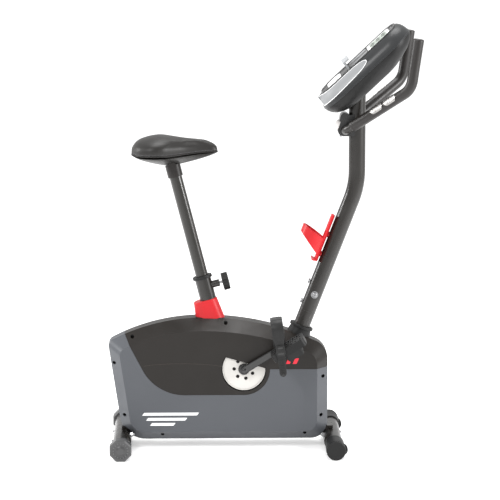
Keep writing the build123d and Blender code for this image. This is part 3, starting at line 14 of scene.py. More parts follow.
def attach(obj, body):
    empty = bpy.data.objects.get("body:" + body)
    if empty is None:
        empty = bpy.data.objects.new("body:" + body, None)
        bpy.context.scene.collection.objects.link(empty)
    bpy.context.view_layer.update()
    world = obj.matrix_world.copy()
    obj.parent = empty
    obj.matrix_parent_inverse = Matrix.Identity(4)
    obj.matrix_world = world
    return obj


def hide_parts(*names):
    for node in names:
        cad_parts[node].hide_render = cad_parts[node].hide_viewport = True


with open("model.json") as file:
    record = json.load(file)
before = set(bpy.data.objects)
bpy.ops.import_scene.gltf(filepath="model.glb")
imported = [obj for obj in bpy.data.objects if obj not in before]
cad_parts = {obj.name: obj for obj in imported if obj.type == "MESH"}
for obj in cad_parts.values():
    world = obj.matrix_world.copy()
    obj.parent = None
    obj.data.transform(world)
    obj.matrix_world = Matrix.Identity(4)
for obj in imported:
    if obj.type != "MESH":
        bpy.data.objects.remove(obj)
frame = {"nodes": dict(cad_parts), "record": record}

LOG = logging.getLogger("bike")
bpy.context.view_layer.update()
SIDES = {"right": -1, "left": 1}
CASING_HALF = 0.072
CRANK_MIDDLE = Vector((-0.0595, 0.0, 0.251))


# ---------------------------------------------------------------- shader effects
def add_node(
    tree: bpy.types.NodeTree, kind: str, inputs: dict | None = None, **props: object
) -> bpy.types.Node:
    """Adds a node, sets its properties, and links or sets its inputs.

    Args:
        tree: The node tree.
        kind: The node's type name.
        inputs: Input name or index to a value, or to a socket to link from.
        **props: Properties set before the inputs.

    Returns:
        The new node.
    """
    node = tree.nodes.new(kind)
    for name, value in props.items():
        setattr(node, name, value)
    for name, value in (inputs or {}).items():
        if isinstance(value, bpy.types.NodeSocket):
            tree.links.new(value, node.inputs[name])
        else:
            node.inputs[name].default_value = value
    return node


def open_group(
    name: str, kind: str, inputs: dict[str, str], output: tuple[str, str]
) -> tuple[bpy.types.NodeTree, bpy.types.Node, bpy.types.Node]:
    """Makes an empty node group with named sockets.

    Args:
        name: The group's name.
        kind: The tree's type name.
        inputs: Input name to socket type.
        output: The output's name and socket type.

    Returns:
        The tree, its input node and its output node.
    """
    tree = bpy.data.node_groups.new(name, kind)
    for title, socket in inputs.items():
        tree.interface.new_socket(title, in_out="INPUT", socket_type=socket)
    tree.interface.new_socket(output[0], in_out="OUTPUT", socket_type=output[1])
    return tree, tree.nodes.new("NodeGroupInput"), tree.nodes.new("NodeGroupOutput")


class Effect(Enum):
    """Surface effects that several materials share."""

    MOTTLE = "mottle"
    SMUDGE = "smudge"
    GRAIN = "grain"
    BRUSH = "brush"
    SCUFF = "scuff"


@dataclass
class EffectLibrary:
    """Builds each shared shader group once and places it in materials."""

    groups: dict[Effect, bpy.types.NodeTree] = field(default_factory=dict)

    def _open(self, effect: Effect, inputs: dict[str, str], output: tuple[str, str]) -> tuple:
        """Opens an effect's group and files it.

        Args:
            effect: The effect to make.
            inputs: Input name to socket type.
            output: The output's name and socket type.

        Returns:
            The tree, its input node and its output node.
        """
        opened = open_group(effect.value, "ShaderNodeTree", inputs, output)
        self.groups[effect] = opened[0]
        return opened

    def build(self) -> None:
        """Builds every effect."""
        number, vector, colour = "NodeSocketFloat", "NodeSocketVector", "NodeSocketColor"
        tree, given, result = self._open(
            Effect.MOTTLE, {"Vector": vector, "Colour": colour, "Scale": number, "Spread": number}, (
                "Colour", colour
            )
        )
        cloud = add_node(tree, "ShaderNodeTexNoise", {
            "Vector": given.outputs["Vector"], "Scale": given.outputs["Scale"],
            "Detail": 5.0, "Roughness": 0.6,
        })
        centred = add_node(tree, "ShaderNodeMath", {0: cloud.outputs["Fac"], 1: 0.5}, operation="SUBTRACT")
        swing = add_node(
            tree, "ShaderNodeMath", {0: centred.outputs[0], 1: given.outputs["Spread"], 2: 1.0},
            operation="MULTIPLY_ADD",
        )
        shade = add_node(tree, "ShaderNodeHueSaturation", {
            "Value": swing.outputs[0], "Color": given.outputs["Colour"],
        })
        tree.links.new(shade.outputs["Color"], result.inputs["Colour"])

        tree, given, result = self._open(
            Effect.SMUDGE, {"Vector": vector, "Scale": number, "Low": number, "High": number}, (
                "Value", number
            )
        )
        cloud = add_node(tree, "ShaderNodeTexNoise", {
            "Vector": given.outputs["Vector"], "Scale": given.outputs["Scale"],
            "Detail": 3.0, "Distortion": 0.4,
        })
        spread = add_node(tree, "ShaderNodeMapRange", {
            "Value": cloud.outputs["Fac"], "From Min": 0.3, "From Max": 0.7,
            "To Min": given.outputs["Low"], "To Max": given.outputs["High"],
        })
        tree.links.new(spread.outputs["Result"], result.inputs["Value"])

        tree, given, result = self._open(
            Effect.GRAIN, {"Vector": vector, "Scale": number, "Cells": number}, ("Height", number)
        )
        cloud = add_node(tree, "ShaderNodeTexNoise", {
            "Vector": given.outputs["Vector"], "Scale": given.outputs["Scale"], "Detail": 4.0,
        })
        cells = add_node(tree, "ShaderNodeTexVoronoi", {
            "Vector": given.outputs["Vector"], "Scale": given.outputs["Scale"],
        }, feature="SMOOTH_F1")
        blend = add_node(tree, "ShaderNodeMix", {
            "Factor": given.outputs["Cells"], 2: cloud.outputs["Fac"], 3: cells.outputs["Distance"],
        })
        tree.links.new(blend.outputs[0], result.inputs["Height"])

        tree, given, result = self._open(
            Effect.BRUSH, {"Vector": vector, "Stretch": vector, "Scale": number}, ("Value", number)
        )
        drawn = add_node(tree, "ShaderNodeVectorMath", {
            0: given.outputs["Vector"], 1: given.outputs["Stretch"],
        }, operation="MULTIPLY")
        lines = add_node(tree, "ShaderNodeTexNoise", {
            "Vector": drawn.outputs[0], "Scale": given.outputs["Scale"], "Detail": 6.0, "Roughness": 0.7,
        })
        tree.links.new(lines.outputs["Fac"], result.inputs["Value"])

        tree, given, result = self._open(
            Effect.SCUFF, {"Vector": vector, "Scale": number, "Reach": number}, ("Mask", number)
        )
        bent = add_node(tree, "ShaderNodeTexNoise", {
            "Vector": given.outputs["Vector"], "Scale": given.outputs["Scale"],
            "Detail": 8.0, "Distortion": 2.5,
        })
        edge = add_node(tree, "ShaderNodeMapRange", {
            "Value": bent.outputs["Fac"], "From Min": given.outputs["Reach"], "From Max": 0.85,
        })
        tree.links.new(edge.outputs["Result"], result.inputs["Mask"])

    def place(self, tree: bpy.types.NodeTree, effect: Effect, **inputs: object) -> bpy.types.NodeSocket:
        """Places an effect in a material.

        Args:
            tree: The material's tree.
            effect: The effect to place.
            **inputs: The group's inputs, as values or sockets.

        Returns:
            The group's output socket.
        """
        return add_node(tree, "ShaderNodeGroup", inputs, node_tree=self.groups[effect]).outputs[0]


class Texture(Enum):
    """How a finish's surface is worked."""

    MOULDED = "moulded"
    PAINTED = "painted"
    BRUSHED = "brushed"
    LEATHER = "leather"
    FOAM = "foam"
    CAST = "cast"
    RIBBED = "ribbed"
    CLEAR = "clear"


@dataclass(frozen=True)
class Finish:
    """One finish, in the terms a maker would state it."""

    slot: str
    colour: tuple[float, float, float]
    texture: Texture = Texture.MOULDED
    roughness: float = 0.45
    spread: float = 0.12
    grain: float = 900.0
    depth: float = 0.00006
    coat: float = 0.0
    gloss: float = 0.22
    stretch: tuple[float, float, float] = (1.0, 1.0, 1.0)

    def build(self, effects: EffectLibrary) -> bpy.types.Material:
        """Makes the material.

        Args:
            effects: The shared effects.

        Returns:
            The material.
        """
        material = bpy.data.materials.new(self.slot)
        material.use_nodes = True
        tree = material.node_tree
        shader = tree.nodes["Principled BSDF"]
        rgba = (*self.colour, 1.0)
        place = tree.nodes.new("ShaderNodeTexCoord").outputs["Object"]
        metal = self.texture in (Texture.BRUSHED, Texture.CAST, Texture.RIBBED)
        for name, value in (
            ("Metallic", 1.0 if metal else 0.0), ("Specular IOR Level", self.gloss),
            ("Coat Weight", self.coat), ("Coat Roughness", 0.12),
        ):
            shader.inputs[name].default_value = value
        tint = effects.place(tree, Effect.MOTTLE, Vector=place, Colour=rgba, Scale=9.0, Spread=self.spread)
        tree.links.new(tint, shader.inputs["Base Color"])
        smudged = effects.place(
            tree, Effect.SMUDGE, Vector=place, Scale=14.0,
            Low=max(self.roughness - 0.06, 0.02), High=self.roughness + 0.07,
        )
        if self.texture is Texture.CLEAR:
            shader.inputs["Transmission Weight"].default_value = 0.35
            shader.inputs["IOR"].default_value = 1.49
            tree.links.new(smudged, shader.inputs["Roughness"])
            return material
        wear = effects.place(tree, Effect.SCUFF, Vector=place, Scale=55.0, Reach=0.62)
        worn = add_node(tree, "ShaderNodeMath", {0: wear, 1: 0.18, 2: smudged}, operation="MULTIPLY_ADD")
        tree.links.new(worn.outputs[0], shader.inputs["Roughness"])
        height = self._height(tree, effects, place)
        bump = add_node(tree, "ShaderNodeBump", {"Strength": 0.6, "Distance": self.depth, "Height": height})
        tree.links.new(bump.outputs["Normal"], shader.inputs["Normal"])
        return material

    def _height(
        self, tree: bpy.types.NodeTree, effects: EffectLibrary, place: bpy.types.NodeSocket
    ) -> bpy.types.NodeSocket:
        """The surface's height, for its bump.

        Args:
            tree: The material's tree.
            effects: The shared effects.
            place: The Object coordinates.

        Returns:
            The socket that gives the height.
        """
        if self.texture is Texture.BRUSHED:
            return effects.place(tree, Effect.BRUSH, Vector=place, Stretch=self.stretch, Scale=self.grain)
        if self.texture is Texture.RIBBED:
            # ribs across the bar's run; both sides mirror each other across the middle
            parts = add_node(tree, "ShaderNodeSeparateXYZ", {0: place})
            mirrored = add_node(tree, "ShaderNodeMath", {0: parts.outputs["Y"]}, operation="ABSOLUTE")
            whole = add_node(tree, "ShaderNodeCombineXYZ", {
                "X": parts.outputs["X"], "Y": mirrored.outputs[0], "Z": parts.outputs["Z"],
            })
            run = add_node(
                tree, "ShaderNodeVectorMath", {0: whole.outputs[0], 1: self.stretch}, operation="DOT_PRODUCT"
            )
            turns = add_node(
                tree, "ShaderNodeMath", {
                    0: run.outputs["Value"], 1: self.grain * math.tau
                }, operation="MULTIPLY"
            )
            return add_node(tree, "ShaderNodeMath", {0: turns.outputs[0]}, operation="SINE").outputs[0]
        cells = {Texture.LEATHER: 0.8, Texture.FOAM: 0.9, Texture.CAST: 0.3}.get(self.texture, 0.25)
        fine = effects.place(tree, Effect.GRAIN, Vector=place, Scale=self.grain, Cells=cells)
        if self.texture is Texture.LEATHER:
            folds = effects.place(tree, Effect.GRAIN, Vector=place, Scale=self.grain / 9, Cells=0.2)
            return add_node(tree, "ShaderNodeMath", {0: fine, 1: folds}, operation="ADD").outputs[0]
        return fine


FINISHES = (
    Finish("frame_paint", (0.010, 0.0085, 0.007), Texture.PAINTED, 0.27, 0.10, 320.0, 0.00003, gloss=0.45),
    Finish("arm_steel", (0.016, 0.014, 0.013), Texture.PAINTED, 0.4),
    Finish("shell_grey", (0.070, 0.074, 0.082), Texture.MOULDED, 0.42, 0.05, 1100.0, 0.00005),
    Finish("shell_black", (0.013, 0.011, 0.0095), Texture.MOULDED, 0.36, 0.10, 1100.0, 0.00004),
    Finish("coral_plastic", (0.43, 0.013, 0.017), Texture.MOULDED, 0.38, 0.08, 800.0, 0.00005),
    Finish("black_plastic", (0.009, 0.009, 0.009), Texture.MOULDED, 0.48, 0.15, 700.0, 0.00010),
    Finish("grey_plastic", (0.040, 0.040, 0.041), Texture.MOULDED, 0.34, 0.08, 900.0, 0.00005, gloss=0.5),
    Finish("clamp_cover", (0.010, 0.010, 0.010), Texture.MOULDED, 0.28, 0.1, 900.0, 0.00003, gloss=0.5),
    Finish("console_plastic", (0.026, 0.027, 0.028), Texture.MOULDED, 0.34, 0.08, 1000.0, 0.00004),
    Finish("pale_plastic", (0.30, 0.31, 0.32), Texture.MOULDED, 0.4, 0.05, 1000.0, 0.00005),
    Finish("white_plastic", (0.52, 0.505, 0.48), Texture.MOULDED, 0.45, 0.06, 800.0, 0.00006),
    Finish("button_plastic", (0.16, 0.165, 0.17), Texture.MOULDED, 0.3, 0.05),
    Finish("screen", (0.62, 0.66, 0.64), Texture.CLEAR, 0.08, 0.02),
    Finish(
        "zinc_steel", (0.26, 0.26, 0.265), Texture.BRUSHED, 0.28, 0.1, 300.0, 0.00003, stretch=(1.0, 6.0, 1.0)
    ),
    Finish("post_chrome", (0.013, 0.012, 0.010), Texture.PAINTED, 0.26, 0.08, 300.0, 0.00002, gloss=0.45),
    Finish(
        "plate_steel", (0.34, 0.33, 0.32), Texture.RIBBED, 0.3, 0.1, 300.0, 0.0004,
        stretch=(0.7118, 0.4657, 0.5263),
    ),
    Finish("crank_steel", (0.008, 0.008, 0.008), Texture.PAINTED, 0.20, 0.1, 300.0, 0.00002, gloss=0.6),
    Finish("flywheel_iron", (0.22, 0.22, 0.23), Texture.CAST, 0.5, 0.2, 600.0, 0.0001),
    Finish("pulley_plastic", (0.03, 0.03, 0.03), Texture.MOULDED, 0.5),
    Finish("belt_rubber", (0.015, 0.015, 0.015), Texture.MOULDED, 0.7),
    Finish("wheel_rubber", (0.025, 0.025, 0.026), Texture.MOULDED, 0.6, 0.2, 500.0, 0.0001),
    Finish("pedal_plastic", (0.008, 0.008, 0.008), Texture.MOULDED, 0.45, 0.2, 600.0, 0.0001),
    Finish("strap_rubber", (0.014, 0.014, 0.014), Texture.MOULDED, 0.42, 0.2, 500.0, 0.00015),
    Finish("foam", (0.010, 0.008, 0.007), Texture.FOAM, 0.42, 0.15, 1500.0, 0.00008, gloss=0.4),
    Finish("saddle_cover", (0.012, 0.011, 0.010), Texture.LEATHER, 0.46, 0.2, 620.0, 0.00016, gloss=0.3),
    Finish("inlet_plastic", (0.02, 0.02, 0.02), Texture.MOULDED, 0.4),
    Finish("thread", (0.09, 0.09, 0.095), Texture.MOULDED, 0.7, 0.3, 3000.0, 0.0001),
    Finish("white_print", (0.78, 0.78, 0.78), Texture.MOULDED, 0.4, 0.05),
    Finish("red_print", (0.70, 0.03, 0.05), Texture.MOULDED, 0.4, 0.05),
    Finish("face_black", (0.010, 0.010, 0.010), Texture.MOULDED, 0.25, 0.05, 900.0, 0.00002, gloss=0.5),
    # painted highlight: the lighter line along the upper panel's crease
    Finish("crease_highlight", (0.030, 0.025, 0.021), Texture.MOULDED, 0.35, 0.05, 900.0, 0.00002),
    Finish("side_grey", (0.22, 0.225, 0.23), Texture.MOULDED, 0.4, 0.04, 1000.0, 0.00004),
    # painted highlight: the pale lobes on the handlebar clamp's cap
    Finish("painted_highlight_lobe", (0.50, 0.48, 0.47), Texture.MOULDED, 0.3, 0.04, 900.0, 0.00003, coat=0.3),
    Finish("display", (0.30, 0.34, 0.30), Texture.MOULDED, 0.3, 0.03),
    Finish("display_ink", (0.03, 0.035, 0.03), Texture.MOULDED, 0.4, 0.03),
)


# ---------------------------------------------------------------- mesh tools
def piece(
    name: str, mesh: bpy.types.Mesh, material: bpy.types.Material, smooth: float = 35.0
) -> bpy.types.Object:
    """Links a mesh as an object at the origin, dressed and shaded.

    Args:
        name: The piece's name.
        mesh: Its mesh, already in place.
        material: Its material.
        smooth: Edges sharper than this many degrees stay crisp.

    Returns:
        The object.
    """
    made = bpy.data.objects.new(name, mesh)
    bpy.context.scene.collection.objects.link(made)
    mesh.materials.clear()
    mesh.materials.append(material)
    mesh.shade_smooth()
    mesh.set_sharp_from_angle(angle=math.radians(smooth))
    return made


def closed_mesh(name: str, rings: list[list[Vector]]) -> bpy.types.Mesh:
    """Skins rings of equal length into a closed shell with its faces outward.

    Args:
        name: The mesh's name.
        rings: The rings, end to end.

    Returns:
        The mesh.
    """
    count = len(rings[0])
    faces = [tuple(reversed(range(count))), tuple(range((len(rings) - 1) * count, len(rings) * count))]
    for low in range(len(rings) - 1):
        for at in range(count):
            after = (at + 1) % count
            faces.append(
                (low * count + at, low * count + after, (low + 1) * count + after, (low + 1) * count + at)
            )
    mesh = bpy.data.meshes.new(name)
    mesh.from_pydata([v for ring in rings for v in ring], [], faces)
    sealed = bmesh.new()
    sealed.from_mesh(mesh)
    bmesh.ops.recalc_face_normals(sealed, faces=sealed.faces)
    sealed.to_mesh(mesh)
    sealed.free()
    return mesh


def rounded_path(points: list[Vector], radii: list[float], steps: int = 10) -> list[Vector]:
    """A polyline with its inner corners turned into arcs.

    Args:
        points: The corners, ends included.
        radii: The arc's radius at each inner corner.
        steps: Divisions of each arc.

    Returns:
        The path's points.
    """
    path = [points[0]]
    for before, corner, after, radius in zip(points, points[1:], points[2:], radii):
        back, on = (before - corner).normalized(), (after - corner).normalized()
        half = back.angle(on) / 2
        centre = corner + (back + on).normalized() * radius / math.sin(half)
        first = corner + back * radius / math.tan(half) - centre
        last = corner + on * radius / math.tan(half) - centre
        axis, sweep = first.cross(last).normalized(), first.angle(last)
        path += [centre + Matrix.Rotation(sweep * k / steps, 3, axis) @ first for k in range(steps + 1)]
    return path + [points[-1]]


def frames_along(path: list[Vector], side: Vector) -> list[tuple[Vector, Vector, Vector]]:
    """A middle, side and up direction for each point of a path, without twist.

    Args:
        path: The path's points.
        side: Roughly the first side direction.

    Returns:
        One (point, side, up) for each point.
    """
    frames, last = [], None
    for at, spot in enumerate(path):
        ahead = (path[min(at + 1, len(path) - 1)] - path[max(at - 1, 0)]).normalized()
        if last is not None:
            side = last.rotation_difference(ahead) @ side
        side = (side - ahead * side.dot(ahead)).normalized()
        frames.append((spot, side, ahead.cross(side)))
        last = ahead
    return frames


def sweep(name: str, path: list[Vector], outline: list[tuple[float, float]], side: Vector) -> bpy.types.Mesh:
    """Sweeps a flat outline along a path.

    Args:
        name: The mesh's name.
        path: The path's points.
        outline: The outline's points, as (side, up).
        side: The side direction at the start.

    Returns:
        The mesh.
    """
    rings = [
        [spot + across * a + up * b for a, b in outline] for spot, across, up in frames_along(path, side)
    ]
    return closed_mesh(name, rings)


def ribbon(
    name: str, path: list[Vector], side: Vector, widths: list[float], thick: float, corner: float = 0.0009
) -> bpy.types.Mesh:
    """A strap-like strip whose width changes along its path.

    Args:
        name: The mesh's name.
        path: The path's points.
        side: The strip's width direction at the start.
        widths: The width at each point.
        thick: The strip's thickness.
        corner: Its edges' radius.

    Returns:
        The mesh.
    """
    rings = [
        [spot + across * a + up * b for a, b in rounded_box(wide, thick, corner)]
        for (spot, across, up), wide in zip(frames_along(path, side), widths)
    ]
    return closed_mesh(name, rings)


def divided(path: list[Vector], pitch: float) -> list[Vector]:
    """Divides long runs so a path's points lie no further apart than pitch.

    Args:
        path: The points.
        pitch: The longest step.

    Returns:
        The denser path.
    """
    dense = [path[0]]
    for start, end in zip(path, path[1:]):
        parts = max(1, math.ceil((end - start).length / pitch))
        dense += [start.lerp(end, k / parts) for k in range(1, parts + 1)]
    return dense


def circle(radius: float, count: int = 32) -> list[tuple[float, float]]:
    """A circle's points.

    Args:
        radius: Its radius.
        count: How many points.

    Returns:
        The points.
    """
    return [
        (radius * math.cos(math.tau * k / count), radius * math.sin(math.tau * k / count))
        for k in range(count)
    ]


def rounded_box(wide: float, tall: float, corner: float, steps: int = 4) -> list[tuple[float, float]]:
    """A rectangle with round corners, centred.

    Args:
        wide: Its width.
        tall: Its height.
        corner: Its corner radius.
        steps: Divisions of each corner.

    Returns:
        The points.
    """
    points = []
    for quarter, (sx, sy) in enumerate(((1, 1), (-1, 1), (-1, -1), (1, -1))):
        for k in range(steps + 1):
            turn = math.pi / 2 * (quarter + k / steps)
            points.append((
                sx * (wide / 2 - corner) + corner * math.cos(turn), sy * (
                    tall / 2 - corner
                ) + corner * math.sin(turn)
            ))
    return points


def lathe(name: str, profile: list[tuple[float, float]], origin: Vector, axis: Vector) -> bpy.types.Mesh:
    """Turns a profile round an axis into a closed shell.

    Args:
        name: The mesh's name.
        profile: Points as (radius, distance along the axis).
        origin: The axis's origin.
        axis: Its direction.

    Returns:
        The mesh.
    """
    axis = axis.normalized()
    side = axis.orthogonal().normalized()
    up = axis.cross(side)
    rings = [[origin + axis * h + side * a + up * b for a, b in circle(r, 40)] for r, h in profile]
    return closed_mesh(name, rings)


def slab(
    name: str, outline: list[
        tuple[float, float]
    ], origin: Vector, u: Vector, v: Vector, low: float, high: float,
    soften: float = 0.0,
) -> bpy.types.Mesh:
    """A plate: an outline on a plane, between two heights, with its upper edge softened.

    Args:
        name: The mesh's name.
        outline: The outline's points, as (u, v).
        origin: The plane's origin.
        u: Its first direction.
        v: Its second direction.
        low: The lower height along u x v.
        high: The upper height.
        soften: How far the upper edge is drawn in.

    Returns:
        The mesh.
    """
    out = u.cross(v)
    middle_u = sum(a for a, _ in outline) / len(outline)
    middle_v = sum(b for _, b in outline) / len(outline)
    reach = max(math.hypot(a - middle_u, b - middle_v) for a, b in outline)
    levels = [(low, 1.0)]
    if soften:
        levels += [
            (high - soften, 1.0), (high - soften * 0.3, 1 - 0.3 * soften / reach), (high, 1 - soften / reach)
        ]
    else:
        levels.append((high, 1.0))
    rings = [
        [
            origin + u * (middle_u + (a - middle_u) * s) + v * (middle_v + (b - middle_v) * s) + out * h
            for a, b in outline
        ]
        for h, s in levels
    ]
    return closed_mesh(name, rings)


# ---------------------------------------------------------------- repeated details
class Layout(Enum):
    """How a repeated detail is laid out."""

    LINE = "repeat in a line"
    RING = "repeat in a ring"
    PATH = "repeat along a path"


@dataclass
class Repeater:
    """Geometry Nodes trees that repeat a detail, baked to plain meshes."""

    trees: dict[Layout, bpy.types.NodeTree] = field(default_factory=dict)

    def _open(self, layout: Layout, inputs: dict[str, str]) -> tuple:
        """Makes a tree with named inputs and a geometry output.

        Args:
            layout: The layout it serves.
            inputs: Input name to socket type.

        Returns:
            The tree, its input node and its output node.
        """
        sockets = {"Geometry": "NodeSocketGeometry", **inputs}
        opened = open_group(layout.value, "GeometryNodeTree", sockets, ("Geometry", "NodeSocketGeometry"))
        self.trees[layout] = opened[0]
        return opened

    @staticmethod
    def _close(
        tree: bpy.types.NodeTree, placed: bpy.types.NodeSocket, given: bpy.types.Node, result: bpy.types.Node
    ) -> None:
        """Realizes the instances, sets their material and links the output.

        Args:
            tree: The tree.
            placed: The socket with the placed geometry.
            given: The tree's input node.
            result: The tree's output node.
        """
        real = add_node(tree, "GeometryNodeRealizeInstances", {"Geometry": placed})
        dressed = add_node(
            tree, "GeometryNodeSetMaterial", {
                "Geometry": real.outputs[0], "Material": given.outputs["Material"]
            }
        )
        tree.links.new(dressed.outputs[0], result.inputs["Geometry"])

    def build(self) -> None:
        """Builds the three layouts."""
        number, vector, whole, stuff = (
            "NodeSocketFloat", "NodeSocketVector", "NodeSocketInt", "NodeSocketMaterial"
        )
        tree, given, result = self._open(
            Layout.LINE, {"Count": whole, "Start": vector, "Step": vector, "Material": stuff}
        )
        spots = add_node(tree, "GeometryNodeMeshLine", {
            "Count": given.outputs["Count"], "Start Location": given.outputs["Start"],
            "Offset": given.outputs["Step"],
        }, mode="OFFSET")
        placed = add_node(tree, "GeometryNodeInstanceOnPoints", {
            "Points": spots.outputs[0], "Instance": given.outputs["Geometry"],
        })
        self._close(tree, placed.outputs[0], given, result)

        tree, given, result = self._open(Layout.RING, {"Count": whole, "Middle": vector, "Material": stuff})
        spots = add_node(tree, "GeometryNodeMeshLine", {
            "Count": given.outputs["Count"], "Offset": (0.0, 0.0, 0.0),
        }, mode="OFFSET")
        share = add_node(tree, "ShaderNodeMath", {
            0: tree.nodes.new("GeometryNodeInputIndex").outputs[0], 1: given.outputs["Count"],
        }, operation="DIVIDE")
        turn = add_node(tree, "ShaderNodeMath", {0: share.outputs[0], 1: math.tau}, operation="MULTIPLY")
        about = add_node(tree, "ShaderNodeCombineXYZ", {"Y": turn.outputs[0]})
        placed = add_node(tree, "GeometryNodeInstanceOnPoints", {
            "Points": spots.outputs[0], "Instance": given.outputs["Geometry"], "Rotation": about.outputs[0],
        })
        moved = add_node(tree, "GeometryNodeTransform", {
            "Geometry": placed.outputs[0], "Translation": given.outputs["Middle"],
        })
        self._close(tree, moved.outputs[0], given, result)

        tree, given, result = self._open(Layout.PATH, {"Pitch": number, "Size": vector, "Material": stuff})
        line = add_node(tree, "GeometryNodeMeshToCurve", {"Mesh": given.outputs["Geometry"]})
        spots = add_node(tree, "GeometryNodeCurveToPoints", {
            "Curve": line.outputs[0], "Length": given.outputs["Pitch"],
        }, mode="LENGTH")
        bead = add_node(tree, "GeometryNodeMeshCube", {"Size": given.outputs["Size"]})
        placed = add_node(tree, "GeometryNodeInstanceOnPoints", {
            "Points": spots.outputs["Points"], "Instance": bead.outputs[0],
            "Rotation": spots.outputs["Rotation"],
        })
        self._close(tree, placed.outputs[0], given, result)

    def repeat(self, seed: bpy.types.Object, layout: Layout, **inputs: object) -> bpy.types.Object:
        """Repeats a seed piece and bakes the result into its mesh.

        Args:
            seed: The piece to repeat, or the path to follow.
            layout: The layout.
            **inputs: The tree's inputs by name.

        Returns:
            The same piece with its new mesh.
        """
        tree = self.trees[layout]
        modifier = seed.modifiers.new(layout.value, "NODES")
        modifier.node_group = tree
        for item in tree.interface.items_tree:
            if item.item_type == "SOCKET" and item.in_out == "INPUT" and item.name in inputs:
                modifier[item.identifier] = inputs[item.name]
        bpy.context.view_layer.update()
        graph = bpy.context.evaluated_depsgraph_get()
        baked = bpy.data.meshes.new_from_object(seed.evaluated_get(graph))
        seed.modifiers.clear()
        seed.data = baked
        return seed


def path_object(name: str, path: list[Vector], material: bpy.types.Material) -> bpy.types.Object:
    """A chain of edges, for the path layout.

    Args:
        name: The piece's name.
        path: The points.
        material: The material that it will take.

    Returns:
        The object.
    """
    mesh = bpy.data.meshes.new(name)
    mesh.from_pydata(path, [(k, k + 1) for k in range(len(path) - 1)], [])
    made = bpy.data.objects.new(name, mesh)
    bpy.context.scene.collection.objects.link(made)
    mesh.materials.append(material)
    return made


@dataclass
class Workshop:
    """What every sub-assembly is built with."""

    effects: EffectLibrary = field(default_factory=EffectLibrary)
    repeater: Repeater = field(default_factory=Repeater)
    materials: dict[str, bpy.types.Material] = field(default_factory=dict)

    def open(self) -> None:
        """Builds the effects, layouts and materials."""
        self.effects.build()
        self.repeater.build()
        for finish in FINISHES:
            self.materials[finish.slot] = finish.build(self.effects)

    def dress_frame(self) -> None:
        """Gives every CAD node its finish."""
        for entry in frame["record"]["subparts"]:
            node = frame["nodes"][entry["node"]]
            for place in node.material_slots:
                place.material = self.materials[entry["material_slot"]]
        # the shroud screws are made black: painted shade for their deep recesses
        for place in frame["nodes"]["shroud_screws"].material_slots:
            place.material = self.materials["face_black"]

    def keep(self, made: bpy.types.Object, body: str) -> bpy.types.Object:
        """Hands a finished piece to its body.

        Args:
            made: The piece.
            body: The body it rides on.

        Returns:
            The piece.
        """
        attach(made, body)
        LOG.info("%s rides on %s", made.name, body)
        return made

    def add(
        self, name: str, mesh: bpy.types.Mesh, finish: str, body: str, slot: str = "", smooth: float = 35.0
    ) -> bpy.types.Object:
        """Makes a piece and hands it to its body.

        Args:
            name: The piece's name.
            mesh: Its mesh, already in place.
            finish: Its material.
            body: The body it rides on.
            slot: The record's slot that callers name for the piece; not used.
            smooth: Edges sharper than this many degrees stay crisp.

        Returns:
            The piece.
        """
        return self.keep(piece(name, mesh, self.materials[finish], smooth), body)


